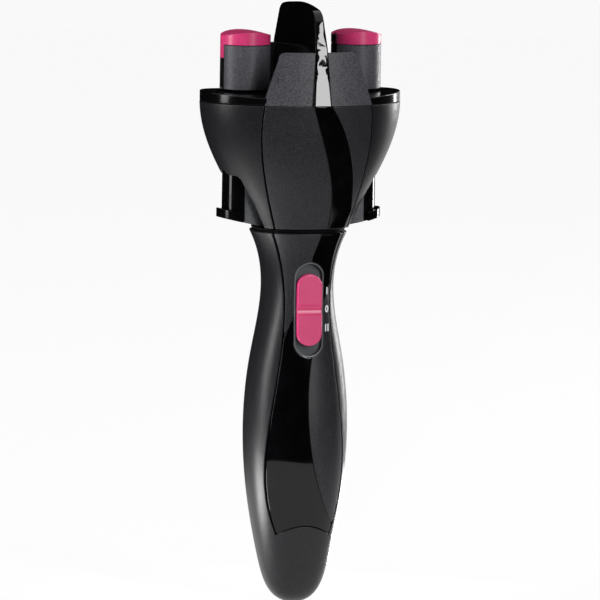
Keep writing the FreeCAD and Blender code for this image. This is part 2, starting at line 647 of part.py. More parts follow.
def make_neck():
    spigot_base = f"{COLLAR_BASE} - spigot_height"
    ring = common(handle_skin(number("collar_inset")),
                  block("100", "100", "collar_height - running_gap", "0", "0", COLLAR_BASE))
    spigot = common(handle_skin(number("wall")), block("100", "100", "spigot_height", "0", "0", spigot_base))
    hub = cylinder("tube_radius", f"tube_top - {COLLAR_BASE}", "0", "0", COLLAR_BASE)
    bore = cylinder("tube_radius - tube_wall", "60", "0", "0", f"{COLLAR_BASE} - 20")
    hollow = tube("ring_radius - 1", "tube_radius + bush_wall", "spigot_height", "0", "0",
                  f"{spigot_base} - 2")
    node("neck_collar", cut(fuse(ring, spigot, hub), bore, hollow))
    inner = "(ring_radius - ring_width)"
    blank = tube("ring_radius", inner, "ring_height", "0", "0", COLLAR_TOP)
    notch = cylinder("pawl_radius + pawl_room", "ring_height + 2", inner, "0", f"{COLLAR_TOP} - 1")
    doc.recompute()
    notches = []
    count = int(number("ratchet_teeth"))
    for index in range(count):
        shape = notch.Shape.copy()
        shape.rotate(Vector(0, 0, 0), Vector(0, 0, 1), 360 * index / count)
        notches.append(shape)
    node("ratchet_ring", fixed("RatchetRing", blank.Shape.cut(notches)))
    pin = cylinder("pawl_radius", f"base_height - {COLLAR_TOP} - running_gap", "0", inner,
                   f"{COLLAR_TOP} + running_gap")
    arm = block("10", "1.8", "0.8", "4", inner, "base_height - 0.8")
    node("ratchet_pawl", fuse(pin, arm))
    bush_bore = "tube_radius + shaft_clearance"
    bush_radius = f"({bush_bore} + bush_wall)"
    disc = head_slab(number("base_height"), number("base_height + base_thickness"),
                     number("wall + wall_clearance"))
    hub = cylinder(f"{bush_radius} + bush_seat", "bush_height", "0", "0", "base_height")
    seats = [cylinder("sleeve_radius", "40", f"{side}{POST_X}", "0", "base_height - 20") for side in ("-",
                                                                                                      "")]
    middle = cylinder(bush_radius, "60", "0", "0", "base_height - 30")
    node("head_base", cut(fuse(fixed("BaseDisc", disc), hub), middle, *seats))
    node("head_bush", tube(bush_radius, bush_bore, "bush_height", "0", "0", "base_height"))
    node("retaining_ring", tube(f"{bush_radius} + 1", "tube_radius", "retainer", "0", "0",
                                "base_height + bush_height + running_gap"))
    node("clutch_sleeve", tube("tube_radius - tube_wall - shaft_clearance", "sun_radius", "sleeve_length",
                               "0", "0",
                               COLLAR_TOP))


# ---- head shell -----------------------------------------------------------------------------------

def petal_prism(inset=0.0):
    heights = [number(f"{name}_height") for name in HEAD_STATIONS]
    widths = [number(f"petal_{name}") - inset for name in HEAD_STATIONS]
    shifts = [number("petal_lean"), number("petal_lean / 2"), 0.0, 0.0]
    right = [(shift + width, up) for shift, width, up in zip(shifts, widths, heights)]
    left = [(shift - width, up) for shift, width, up in zip(shifts, widths, heights)]
    low, top = heights[0] - 4, heights[-1] + 12
    return front_prism(left, [left[-1], (left[-1][0], top)], [(left[-1][0], top), (right[-1][0], top)],
                       [(right[-1][0], top), right[-1]], right[::-1], [right[0], (right[0][0], low)],
                       [(right[0][0], low), (left[0][0], low)], [(left[0][0], low), left[0]])


def head_ribbon_prism():
    """The gloss band that runs down from the fin and swells towards the right seam."""
    heights = [number(f"{name}_height") for name in HEAD_STATIONS]
    swell, low = number("ribbon_swell"), number("ribbon_top")
    near, far = -number("ribbon_left"), number("ribbon_fin")
    left = [(low, heights[0]), (low + 0.4, heights[1]), (0.65 * low, heights[2] - 3), (near, heights[3])]
    right = [(swell + 2.5, heights[0]), (swell + 1.6, heights[1]), (swell - 1.2, heights[2]), (far,
                                                                                               heights[3])]
    top, foot = heights[-1] + 12, heights[0] - 4
    return front_prism(left, [left[-1], (near, top)], [(near, top), (far, top)], [(far, top), right[-1]],
                       right[::-1], [right[0], (right[0][0], foot)], [(right[0][0], foot), (low, foot)],
                       [(low, foot), left[0]])


def make_head_shell():
    band = block("200", "200", f"rim_height - {HEAD_BASE}", "0", "0", HEAD_BASE)
    shell = common(cut(head_skin(0), head_skin(number("wall"))), band)
    gap = number("seam_gap")
    inside = fixed("PetalPrism", petal_prism(gap))
    layer = cut(head_skin(0), head_skin(number("inlay_depth")))
    ribbon = common(layer, inside, fixed("HeadRibbonPrism", head_ribbon_prism()), band)
    petal = cut(common(shell, inside), ribbon)
    node("petal_front", petal)
    node("petal_ribbon_front", ribbon)
    doc.recompute()
    node("petal_rear", fixed("RearPetal", half_turned(petal)))
    node("petal_ribbon_rear", fixed("RearRibbon", half_turned(ribbon)))
    seams = fixed("PetalSeams", petal_prism())
    rear_seams = fixed("RearSeams", half_turned(seams))
    opening = block("60", "2 * slot_half", f"slot_top - {HEAD_BASE} + 10", f"-{POST_X} - 20", "0",
                    f"{HEAD_BASE} - 10")
    relief = cylinder("sleeve_radius + running_gap", "60", f"-{POST_X}", "0", f"{HEAD_BASE} - 10")
    half = block("100", "100", "100", "-50", "0", HEAD_BASE)
    left = node("wing_left", cut(common(shell, half), seams, rear_seams, opening, relief))
    doc.recompute()
    node("wing_right", fixed("RightWing", half_turned(left)))


def make_head_frame():
    sides = ("-", "")
    stem_hole = "stem_radius + shaft_clearance + 0.2"
    pilot = "screw_radius - thread_bite / 2"
    plate_base = "(plate_top - gear_plate)"
    plate = fixed("PlateForm", head_slab(number(plate_base), number("plate_top"),
                                         number("wall + wall_clearance")))
    bosses = [cylinder("boss_radius", f"{COVER_BASE} - plate_top", "0", f"{side}cover_boss", "plate_top")
              for side in sides]
    bores = [cylinder(pilot, "40", "0", f"{side}cover_boss", "plate_top - 20") for side in sides]
    stems = [cylinder(stem_hole, "40", f"{side}{POST_X}", "0", "plate_top - 20") for side in sides]
    middle = cylinder("sun_radius + shaft_clearance", "40", "0", "0", "plate_top - 20")
    node("gear_plate", cut(fuse(plate, *bosses), middle, *stems, *bores))
    tubes = [cylinder("post_tube + shaft_clearance", "40", f"{side}{POST_X}", "0", "rim_height - 20")
             for side in sides]
    pivot = cylinder("drive_radius + shaft_clearance", "1.2", "0", "0", COVER_BASE)
    seat = fixed("ShieldSeat", shield_outline().cut(shield_form(number("shield_wall"))))
    seats = [seat, fixed("RearShieldSeat", half_turned(seat))]
    forms["cover"] = cut(fixed("CoverBlank", cover_form()), *seats)
    node("head_cover", cut(forms["cover"], pivot, *tubes))
    screws = [fuse(cylinder(pilot, "screw_length", "0", f"{side}cover_boss", plate_base),
                   cylinder("screw_head", "head_thickness", "0", f"{side}cover_boss",
                            f"{plate_base} - head_thickness")) for side in sides]
    doc.recompute()
    node("cover_screws", fixed("CoverScrews", Part.makeCompound([screw.Shape for screw in screws])))


def cover_form():
    """The oval top plate. Its top is a low arch that falls towards the front and the rear."""
    width, depth, sag = number("rim_width"), number("rim_depth"), number("cover_sag")
    low, high = number(COVER_BASE), number(COVER_TOP)
    plate = Part.makeLoft([oval(width, depth, height, 2) for height in (low, high)], True, True)
    radius = (depth ** 2 + sag ** 2) / (2 * sag)
    drum = Part.makeCylinder(radius, 2 * width + 2, Vector(-width - 1, 0, high - radius), Vector(1, 0, 0))
    return plate.common(drum)


def make_gears():
    wheel = gear("gear_teeth", "gear_module", "gear_base", "gear_thickness", "sun_radius - 0.4", "0")
    top = "(gear_base + gear_thickness)"
    bore_top = "(tube_top - 3)"
    shaft = turned([("drive_radius + shaft_clearance", f"{COLLAR_TOP} - 4"), ("sun_radius",
                                                                              f"{COLLAR_TOP} - 4"),
                    ("sun_radius", top), ("drive_radius", top), ("drive_radius", f"{COVER_BASE} + 1"),
                    ("0", f"{COVER_BASE} + 1"), ("0", bore_top), ("drive_radius + shaft_clearance",
                                                                  bore_top)])
    node("sun_gear", fuse(wheel, shaft))
    for name, side, facing in (("left", "-", "180 / gear_teeth"), ("right", "", "180 + 180 / gear_teeth")):
        node(f"hook_gear_{name}", gear("gear_teeth", "gear_module", "gear_base", "gear_thickness",
                                       "post_tube",
                                       facing, x=f"{side}{POST_X}"))


# ---- posts, hook caps and pushers -----------------------------------------------------------------

def make_post(name, side):
    """A post's core and rib, its outer panel, and the cap, stem and spring that rise together."""
    x = f"{side}{POST_X}"
    outward = f"{side}1" if side else "1"
    bore = "(stem_radius + shaft_clearance)"
    crown = f"({CAP_BASE} + cap_height)"
    profile = [(bore, "plate_top + 0.2"), ("post_tube", "plate_top + 0.2"), ("post_tube", POST_BASE),
               (POST_CORE, POST_BASE), (POST_CORE, POST_TOP), (bore, POST_TOP)]
    rib_height = f"({crown} - cap_sag - {POST_BASE})"
    rib = common(tube("rib_reach", f"{POST_CORE} - 2 * rib_gap", rib_height, x, "0", POST_BASE),
                 block("post_radius", "rib_width", rib_height, f"{x} - {outward} * post_radius", "0",
                       POST_BASE))
    node(f"hook_post_{name}", fuse(turned(profile, x), rib))
    outer_slot = block("post_radius", "spine_width + 2 * running_gap", "60", f"{x} + {outward} * post_radius",
                       "0", POST_BASE)
    inner_slot = block("post_radius", "flat_width", "60", f"{x} - {outward} * post_radius", "0", POST_BASE)
    skirt = tube("post_radius", POST_CORE, "post_height", x, "0", POST_BASE)
    node(f"post_panel_{name}", cut(skirt, outer_slot, inner_slot))

    drum_radius = "((post_radius ^ 2 + cap_sag ^ 2) / (2 * cap_sag))"
    drum = cylinder(drum_radius, "2 * post_radius + 2", x, "post_radius + 1", f"{crown} - {drum_radius}",
                    Vector(0, -1, 0))
    socket = cylinder("stem_radius", "cap_height - cap_roof", x, "0", CAP_BASE)
    flat = block("post_radius", "2 * post_radius", "cap_height",
                 f"{x} - {outward} * (flat_reach + post_radius / 2)", "0", CAP_BASE)
    rib_room = block("post_radius", "rib_width + 2 * running_gap", "cap_height",
                     f"{x} - {outward} * ({POST_CORE} - 5 * rib_gap + post_radius / 2)", "0", CAP_BASE)
    cap = common(cut(cylinder("post_radius", "cap_height", x, "0", CAP_BASE), socket, flat, rib_room), drum)
    spine_base = f"{CAP_BASE} - spine_drop"
    spine = common(tube("post_radius", f"{POST_CORE} + rib_gap", "spine_drop + 1", x, "0", spine_base),
                   block("post_radius", "spine_width", "20", f"{x} + {outward} * post_radius", "0",
                         spine_base))
    node(f"hook_cap_{name}", fuse(cap, spine))

    foot_base = "(floor_height + floor_thickness + running_gap)"
    stem = cylinder("stem_radius", f"{crown} - cap_roof - {foot_base}", x, "0", foot_base)
    node(f"hook_stem_{name}", fuse(stem, cylinder("foot_radius", "foot_thickness", x, "0", foot_base)))
    spring_base = f"({foot_base} + foot_thickness)"
    node(f"hook_spring_{name}", coil("spring_radius", "spring_wire",
                                     f"plate_top - gear_plate - {spring_base}",
                                     "spring_turns", spring_base, x))


def below_underside(side, lift):
    """Everything under the pusher's sloping underside, raised by lift. The underside rises outwards."""
    start, slope = number("underside_start"), number("underside_slope")
    level = number(f"{HEAD_BASE} + sleeve_lift") + lift
    far = start + 40
    corners = [(0, level - 30), (far, level - 30), (far, level + slope * (far - start)), (start, level), (0,
                                                                                                          level)]
    sign = -1 if side else 1
    return level_prism([(sign * across, up) for across, up in corners], 40)


def sleeve_half(side, share):
    """All on one side of a sleeve's split: share 1 is the outer side, -1 the inner side."""
    x, outward = f"{side}{POST_X}", f"{side}1" if side else "1"
    gap = "0" if share > 0 else "running_gap"
    return block("40", "60", "200", f"{x} + {outward} * (sleeve_split + {share} * 20 + {gap})", "0",
                 HEAD_BASE)


def make_guides():
    """The fixed half of each sleeve, with the walls of the pocket behind the wing's opening."""
    side, x = "-", f"-{POST_X}"
    base = f"({HEAD_BASE} + sleeve_lift)"
    outer_side = sleeve_half(side, 1)
    guide = cut(tube("sleeve_radius", SLEEVE_BORE, f"plate_top - gear_plate - {base}", x, "0", base),
                outer_side)
    pocket_base = "(base_height + base_thickness)"
    pocket_width = "2 * (slot_half - pocket_gap)"
    web = block("web_wall", pocket_width, f"slot_top - {pocket_base}", "-web_reach", "0", pocket_base)
    ceiling = block("40", pocket_width, "web_wall", "-(web_reach + 20)", "0", "slot_top - web_wall")
    pocket = common(fuse(web, ceiling), head_skin(number("wall + pocket_gap")))
    bore = cylinder("sleeve_radius - 0.2", "60", x, "0", f"{HEAD_BASE} - 10")
    room = common(cylinder("sleeve_radius + running_gap", "60", x, "0", HEAD_BASE), outer_side)
    below = fixed("GuideUnderside", below_underside(side, 0.0))
    left = node("pusher_guide_left", cut(fuse(guide, cut(pocket, bore, room)), below))
    doc.recompute()
    node("pusher_guide_right", fixed("RightGuide", half_turned(left)))


def make_pusher(name, side):
    """The half sleeve that slides, with its floor and an upturned lip round its foot."""
    x, outward = f"{side}{POST_X}", f"{side}1" if side else "1"
    base = f"({HEAD_BASE} + sleeve_lift)"
    inner_side = sleeve_half(side, -1)
    shell = cut(tube("sleeve_radius", SLEEVE_BORE, f"sleeve_top - {base}", x, "0", base), inner_side)
    floor = cylinder(f"{SLEEVE_BORE} - 0.3", "floor_thickness", x, "0", "floor_height")
    edge = cut(cylinder(f"{SLEEVE_BORE} + 0.1", "floor_thickness", x, "0", "floor_height"), inner_side)
    reach = "(sleeve_radius + lip_reach)"
    flange = common(cylinder(reach, "20", x, "0", base),
                    fixed("FlangeTop", below_underside(side, number("lip_wall"))))
    rim = common(tube(reach, f"{reach} - lip_wall", "20", x, "0", base),
                 fixed("LipTop", below_underside(side, number("lip_height"))))
    bore = cylinder("sleeve_radius - 0.2", "60", x, "0", f"{HEAD_BASE} - 10")
    lip_side = block("40", "60", "40", f"{x} + {outward} * (lip_start + 20)", "0", HEAD_BASE)
    lip = common(cut(fuse(flange, rim), bore), lip_side)
    below = fixed("Underside", below_underside(side, 0.0))
    node(f"pusher_{name}", cut(fuse(shell, floor, edge, lip), below))


# ---- shields and fin ------------------------------------------------------------------------------

def shield_form(inset):
    """The leaning oval cone that the shields are cut from."""
    low, top = number(COVER_BASE), number(f"{COVER_BASE} + shield_height")
    width, depth, lean = number("rim_width") - inset, number("rim_depth") - inset, number("shield_lean")
    return Part.makeLoft([oval(width, depth, low, 2), oval(width - lean, depth - lean, top, 2)], True, True)


def shield_outline():
    """A shield as seen from the front: sides that close upwards, under a flat top with round corners."""
    low, top = number(COVER_BASE), number(f"{COVER_BASE} + shield_height")
    wide, narrow, corner = number("shield_width"), number("shield_top"), number("shield_corner")
    slope = (wide - narrow) / (top - low)
    turn = [(narrow + slope * corner, top - corner), (narrow + 0.25 * slope * corner, top - 0.32 * corner),
            (narrow - corner, top)]
    other_turn = [(-across, up) for across, up in turn]
    return front_prism([(-wide, low), other_turn[0]], other_turn, [other_turn[-1], turn[-1]], turn[::-1],
                       [turn[0], (wide, low)], [(wide, low), (-wide, low)])


def make_shields_and_fin():
    blade = fin_blade()
    shield = shield_form(0).cut(shield_form(number("shield_wall"))).common(shield_outline())
    front = fixed("FrontShield", shield.cut(blade))
    doc.recompute()
    node("shield_front", front)
    node("shield_rear", fixed("RearShield", half_turned(front)))
    node("fin", fixed("FinBlade", blade.cut(forms["cover"].Shape)))


def fin_blade():
    """The tall blade: it thins and shortens upwards, under a low round crown with round corners."""
    top, crown, corner = number("total_height"), number("fin_crown"), number("fin_corner")
    bevel, ridge = number("fin_edge"), number("fin_top_reach")
    rim, middle = number(f"{COVER_BASE} + cover_gap"), number(POST_TOP)
    base_width, top_width = number("fin_base"), number("fin_top")
    reaches = (number("fin_reach"), number("fin_mid_reach"), ridge - 0.3)
    widths = (base_width, (base_width + top_width) / 2, top_width)
    sections = []
    for height, reach, width in zip((rim, middle, top + 1), reaches, widths):
        edge, flat, side = width / 2, width / 2 - bevel, reach - bevel
        ring = [(edge, side), (flat, reach), (-flat, reach), (-edge, side), (-edge, -side), (-flat, -reach),
                (flat, -reach), (edge, -side), (edge, side)]
        sections.append(Part.makePolygon([Vector(across, along, height) for across, along in ring]))
    blade = Part.makeLoft(sections, True, True)

    def reach_at(height):
        return reaches[1] + (reaches[2] - reaches[1]) * (height - middle) / (top + 1 - middle)

    def crown_at(along):
        return top - along ** 2 * crown / (ridge ** 2 + crown ** 2)
    low = Vector(0, reach_at(top - crown - corner), top - crown - corner)
    high = Vector(0, ridge - corner, crown_at(ridge - corner))
    sharp = Vector(0, reach_at(top - crown), crown_at(reach_at(top - crown)))
    turn = sharp + ((low + high) * 0.5 - sharp) * 0.586
    foot = Vector(0, 40, rim)
    other_foot, other_low, other_turn, other_high = (Vector(0, -point.y, point.z)
                                                     for point in (foot, low, turn, high))
    outline = Part.Wire([Part.makeLine(other_foot, foot), Part.makeLine(foot, low),
                         Part.Arc(low, turn, high).toShape(), Part.Arc(high, Vector(0, 0, top),
                                                                       other_high).toShape(),
                         Part.Arc(other_high, other_turn, other_low).toShape(),
                         Part.makeLine(other_low, other_foot)])
    outline.translate(Vector(-20, 0, 0))
    return blade.common(Part.Face(outline).extrude(Vector(40, 0, 0)))


def make_leads():
    """Battery to board, battery to motor, and board to motor, each round two bends."""
    board = -number(f"{SWITCH_FLOOR} - board_drop - board_thickness / 2")
    wall = number(f"{TRAY_TOP} + tray_wall")
    motor, side = number("motor_base"), number("lead_x")
    lane, high = board + 1.6, motor + 8
    tray_y, back_y, front_y, inner_x = -3.0, 3.0, -4.0, -2.5
    runs = [[(side, tray_y, wall), (side, tray_y, wall + 2.4), (side, lane, wall + 4.6), (side, lane, high),
             (side, board, high)],
            [(-side, tray_y, wall), (-side, tray_y, wall + 2.2), (-side, back_y, wall + 4.0), (-side,
                                                                                               back_y,
                                                                                               motor)],
            [(inner_x, board, high), (inner_x, lane, high), (inner_x, lane, wall + 4.0),
             (inner_x, front_y, wall + 4.0), (inner_x, front_y, motor)]]
    node("internal_leads", fixed("Leads", Part.makeCompound([lead(run) for run in runs])))


# ---- build and write ------------------------------------------------------------------------------

def main():
    make_handle()
    make_switch()
    make_batteries()
    make_motor()
    make_gearbox()
    make_leads()
    make_neck()
    make_head_shell()
    make_head_frame()
    make_gears()
    for name, side in (("left", "-"), ("right", "")):
        make_post(name, side)
        make_pusher(name, side)
    make_guides()
    make_shields_and_fin()
    doc.recompute()
    failed = [item for item in doc.Objects if "Invalid" in item.State or "Error" in item.State]
    if failed:
        raise RuntimeError("these failed: " + ", ".join(f"{item.Name} ({item.Label})" for item in failed))
    os.makedirs("parts", exist_ok=True)
    for item in nodes:
        if item.Shape.isNull() or not item.Shape.isValid():
            raise RuntimeError(f"{item.Label} has no valid shape")
        item.Shape.exportStep(f"parts/{item.Label}.step")
        print(item.Label, len(item.Shape.Solids), round(item.Shape.Volume, 1))


main()
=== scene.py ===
import bpy
import bmesh
import json
import math
import numpy as np
from mathutils import Matrix, Vector


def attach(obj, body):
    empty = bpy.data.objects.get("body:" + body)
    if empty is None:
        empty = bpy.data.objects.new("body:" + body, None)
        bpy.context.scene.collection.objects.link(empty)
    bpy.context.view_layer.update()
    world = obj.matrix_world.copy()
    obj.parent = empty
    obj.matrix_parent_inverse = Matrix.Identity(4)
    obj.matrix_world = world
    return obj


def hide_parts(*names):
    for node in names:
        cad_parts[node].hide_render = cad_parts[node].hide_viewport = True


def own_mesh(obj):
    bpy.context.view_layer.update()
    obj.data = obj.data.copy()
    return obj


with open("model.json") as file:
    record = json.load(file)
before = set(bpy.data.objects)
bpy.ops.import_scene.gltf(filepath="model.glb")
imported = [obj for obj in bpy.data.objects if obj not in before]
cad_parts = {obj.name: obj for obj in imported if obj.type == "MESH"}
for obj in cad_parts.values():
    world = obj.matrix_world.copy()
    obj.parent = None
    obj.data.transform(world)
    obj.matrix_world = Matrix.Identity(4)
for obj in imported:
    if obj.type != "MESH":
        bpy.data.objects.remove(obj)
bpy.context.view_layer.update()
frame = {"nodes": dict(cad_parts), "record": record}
mm = 0.001  # shapes are worked out in millimetres, and become metres as pieces
nodes = frame["nodes"]
print("frame loaded:", len(nodes), "nodes")


def lineThrough(points, count=2400):  # cubic line through the points, spaced by their distance
    points = np.array(points, float)
    gaps = np.linalg.norm(np.diff(points, axis=0), axis=1)
    knots = np.concatenate([[0.0], np.cumsum(gaps)])
    size = len(points)
    order = min(3, size - 1)
    system = np.eye(size)
    rates = np.zeros_like(points)
    for end, near in ((0, slice(0, order + 1)), (-1, slice(size - order - 1, size))):
        for axis in range(points.shape[1]):
            fitted = np.polyfit(knots[near], points[near, axis], order)
            rates[end, axis] = np.polyval(np.polyder(fitted), knots[end])
    for row in range(1, size - 1):
        before, after = 1 / gaps[row - 1], 1 / gaps[row]
        system[row, row - 1:row + 2] = before, 2 * (before + after), after
        rates[row] = 3 * ((points[row] - points[row - 1]) * before ** 2
                          + (points[row + 1] - points[row]) * after ** 2)
    slopes = np.linalg.solve(system, rates)
    where = np.linspace(0, knots[-1], count)
    span = np.clip(np.searchsorted(knots, where) - 1, 0, size - 2)
    length = gaps[span][:, None]
    share = ((where - knots[span]) / gaps[span])[:, None]
    return ((2 * share ** 3 - 3 * share ** 2 + 1) * points[span]
            + (share ** 3 - 2 * share ** 2 + share) * length * slopes[span]
            + (3 * share ** 2 - 2 * share ** 3) * points[span + 1]
            + (share ** 3 - share ** 2) * length * slopes[span + 1])


def edgeThrough(points):  # a line given as (across, height), read as across at a height
    line = lineThrough(sorted(points, key=lambda point: point[1]))
    return lambda height: float(np.interp(height, line[:, 1], line[:, 0]))


class Form:  # an oval whose half width and half depth follow smooth lines, squarer as its power passes 2
    def __init__(self, stations, lowRound, highRound, stretch=0.0):
        self.line = lineThrough(stations)
        self.low = self.line[0, 2]
        self.high = self.line[-1, 2]
        self.rounds = (lowRound, highRound, self.high + stretch)

    def size(self, height, depth=0.0):
        width = float(np.interp(height, self.line[:, 2], self.line[:, 0])) - depth
        reach = float(np.interp(height, self.line[:, 2], self.line[:, 1])) - depth
        share = (height - self.low) / (self.rounds[2] - self.low)
        return width, reach, self.rounds[0] + (self.rounds[1] - self.rounds[0]) * share

    def point(self, angle, height, depth=0.0):
        width, reach, power = self.size(height, depth)
        across, along = math.cos(angle), math.sin(angle)
        return Vector((width * math.copysign(abs(across) ** (2 / power), across),
                       reach * math.copysign(abs(along) ** (2 / power), along), height))

    def facing(self, angle, height):  # the outward normal
        def value(spot, level):
            width, reach, power = self.size(level)
            return (abs(spot.x) / width) ** power + (abs(spot.y) / reach) ** power
        spot = self.point(angle, height)
        width, reach, power = self.size(height)
        step = 0.25
        low, high = max(height - step, self.low), min(height + step, self.high)
        return Vector((math.copysign(power / width * (abs(spot.x) / width) ** (power - 1), spot.x),
                       math.copysign(power / reach * (abs(spot.y) / reach) ** (power - 1), spot.y),
                       (value(spot, high) - value(spot, low)) / (high - low))).normalized()

    def angleAt(self, across, height):  # on the front, where the form passes a given x
        width, reach, power = self.size(height)
        share = min(1.0, abs(across) / width) ** (power / 2)
        return -math.acos(math.copysign(share, across))


bodySizes = dict(
    handle=[(4.0, 3.8, 0.0), (8.8, 8.3, 3.2), (14.9, 14.2, 19.0), (21.4, 20.0, 68.0), (19.0, 18.8, 102.0),
            (14.5, 18.0, 129.0), (21.0, 21.3, 157.0)],  # half width, half depth, height
    head=[(21.0, 21.3, 157.0), (28.7, 25.0, 172.0), (37.2, 28.6, 188.0), (42.5, 31.6, 209.0)],
    neckRound=2.3, rimRound=2.0, headStretch=6.0,
    wall=2.1, inlay=0.8,
    seam=0.2, edge=0.3,  # half the seam's width, and the radius of each rounded edge
    baseEdge=0.1, ribbonGap=0.05, petalGap=0.08,  # the layer under a ribbon, and the gaps beside the ribbons
)
handleForm = Form(bodySizes["handle"], bodySizes["neckRound"], bodySizes["neckRound"])
headForm = Form(bodySizes["head"], bodySizes["neckRound"], bodySizes["rimRound"], bodySizes["headStretch"])
edge, wall, inlay, ribbonGap = (bodySizes[key] for key in ("edge", "wall", "inlay", "ribbonGap"))
margin = bodySizes["seam"] + edge  # from the middle of a seam to where a piece's rounded edge begins


def linked(name, data):  # a new object in the scene
    piece = bpy.data.objects.new(name, data)
    bpy.context.scene.collection.objects.link(piece)
    return piece


def meshPiece(name, maker, material, facings):  # a bmesh in millimetres becomes a piece, with these normals
    bmesh.ops.recalc_face_normals(maker, faces=maker.faces)
    normals = [facings[vert] for vert in maker.verts]
    bmesh.ops.scale(maker, vec=(mm, mm, mm), verts=maker.verts)
    mesh = bpy.data.meshes.new(name)
    maker.to_mesh(mesh)
    maker.free()
    mesh.polygons.foreach_set("use_smooth", [True] * len(mesh.polygons))
    mesh.normals_split_custom_set_from_vertices(normals)
    mesh.materials.append(material)
    return linked(name, mesh)


def settle(piece, body, slot, *replaced):
    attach(piece, body)
    if replaced:
        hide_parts(*replaced)
    return piece


def halfTurned(piece, name):  # the same mesh, turned half a turn about the head's axis
    mesh = piece.data.copy()
    corners = [Vector(entry.vector) for entry in mesh.corner_normals]
    mesh.transform(Matrix.Rotation(math.pi, 4, "Z"))
    mesh.normals_split_custom_set([Vector((-n.x, -n.y, n.z)) for n in corners])
    return linked(name, mesh)


class Sheet:  # an open patch of the outer form that becomes a wall with rounded edges
    def __init__(self, form, sink=0.0):
        self.form = form
        self.sink = sink
        self.maker = bmesh.new()
        self.places = {}

    def corner(self, angle, height, shrink=1.0):
        spot = self.form.point(angle, height, self.sink)
        vert = self.maker.verts.new((spot.x * shrink, spot.y * shrink, spot.z))
        self.places[vert] = (angle, height, shrink)
        return vert

    def grid(self, rows):
        return self.join([[self.corner(*place) for place in row] for row in rows])

    def join(self, made, ring=False):
        count = len(made[0])
        for lower, upper in zip(made, made[1:]):
            for index in range(count if ring else count - 1):
                after = (index + 1) % count
                self.maker.faces.new((lower[index], lower[after], upper[after], upper[index]))
        return made

    # opens the patch where outside(point) is below 0, and moves the corners near its rim onto that line
    def punch(self, outside, near=1.6):
        border = {vert for edge in self.maker.edges if edge.is_boundary for vert in edge.verts}
        inner = [face for face in self.maker.faces if outside(face.calc_center_median()) < 0]
        bmesh.ops.delete(self.maker, geom=inner, context="FACES")
        self.places = {vert: self.places[vert] for vert in self.maker.verts}
        rim = {vert for edge in self.maker.edges if edge.is_boundary for vert in edge.verts}
        for vert in rim:
            if vert in border and abs(outside(vert.co)) > near / 3:
                continue
            if abs(outside(vert.co)) < near:
                self.slide(vert, outside)

    def slide(self, vert, outside):  # moves a corner over the form until outside() is 0 there
        angle, height, shrink = self.places[vert]
        turn = 0.5 / max(self.form.size(height)[:2])  # the angle of half a millimetre
        nudge = 0.05
        for _ in range(8):
            here = outside(self.form.point(angle, height, self.sink))
            byAngle = (outside(self.form.point(angle + turn * 0.1, height, self.sink)) - here) / nudge
            byHeight = (outside(self.form.point(angle, height + nudge, self.sink)) - here) / nudge
            steep = byAngle ** 2 + byHeight ** 2
            if steep < 1e-6:
                break
            angle -= here * byAngle / steep * turn * 2
            height -= here * byHeight / steep
        vert.co = self.form.point(angle, height, self.sink)
        self.places[vert] = (angle, height, shrink)

    def facing(self, vert):
        angle, height, shrink = self.places[vert]
        if shrink < 1:  # on the closed end under the handle
            return Vector((0, 0, -1))
        return self.form.facing(angle, height)

    def solid(self, name, material, wall, edge, steps=3):
        maker = self.maker
        sheetVerts = list(maker.verts)
        sheetFaces = list(maker.faces)
        facings = {vert: self.facing(vert) for vert in sheetVerts}
        aways = {}
        for line in maker.edges:
            if line.is_boundary:
                along = (line.verts[1].co - line.verts[0].co).normalized()
                away = (line.verts[0].co + line.verts[1].co) / 2 - line.link_faces[0].calc_center_median()
                away = (away - along * away.dot(along)).normalized()
                for vert in line.verts:
                    aways.setdefault(vert, []).append(away)
        outward = {}
        for vert, sides in aways.items():
            both = sum(sides, Vector())
            both -= facings[vert] * both.dot(facings[vert])
            mitre = min(1.5, len(sides) / max(0.3, both.length))  # kept short where the outline turns sharply
            outward[vert] = both.normalized() * mitre
        quarter = math.pi / 2
        profile = [(edge * math.sin(quarter * step / steps), edge * (1 - math.cos(quarter * step / steps)))
                   for step in range(1, steps + 1)] + [(edge, wall)]
        rings = [{vert: vert for vert in outward}]
        for index, (out, down) in enumerate(profile):
            ring = {}
            for vert, side in outward.items():
                new = maker.verts.new(vert.co + side * out - facings[vert] * down)
                lean = min(1.0, (index + 1) / steps) * quarter
                facings[new] = (facings[vert] * math.cos(lean) + side * math.sin(lean)).normalized()
                ring[vert] = new
            rings.append(ring)
        inner = {}
        for vert in sheetVerts:
            inner[vert] = maker.verts.new(vert.co - facings[vert] * wall)
            facings[inner[vert]] = -facings[vert]
        rings.append({vert: inner[vert] for vert in outward})
        borders = [tuple(line.verts) for line in maker.edges if line.is_boundary]
        for face in sheetFaces:
            maker.faces.new([inner[vert] for vert in reversed(face.verts)])
        for first, second in borders:
            for ring, after in zip(rings, rings[1:]):
                maker.faces.new((ring[first], ring[second], after[second], after[first]))
        return meshPiece(name, maker, material, facings)


def spread(low, high, step):  # evenly spaced values that include both ends
    count = max(1, round((high - low) / step))
    return [low + (high - low) * index / count for index in range(count + 1)]


def strip(form, left, right, heights, columns, lift=None):  # rows on the front, from one edge to the other
    rows = []
    for height in heights:
        low, high = left(height), right(height)
        row = []
        for index in range(columns + 1):
            across = low + (high - low) * index / columns
            level = height + (lift(across, height) if lift else 0.0)
            row.append((form.angleAt(across, level), level))
        rows.append(row)
    return rows


def inset(edge, amount, side):  # an edge moved sideways by an amount that is measured square to it
    reach = 0.2

    def moved(height):
        slope = (edge(height + reach) - edge(height - reach)) / (2 * reach)
        return edge(height) + side * amount * math.sqrt(1 + slope * slope)
    return moved


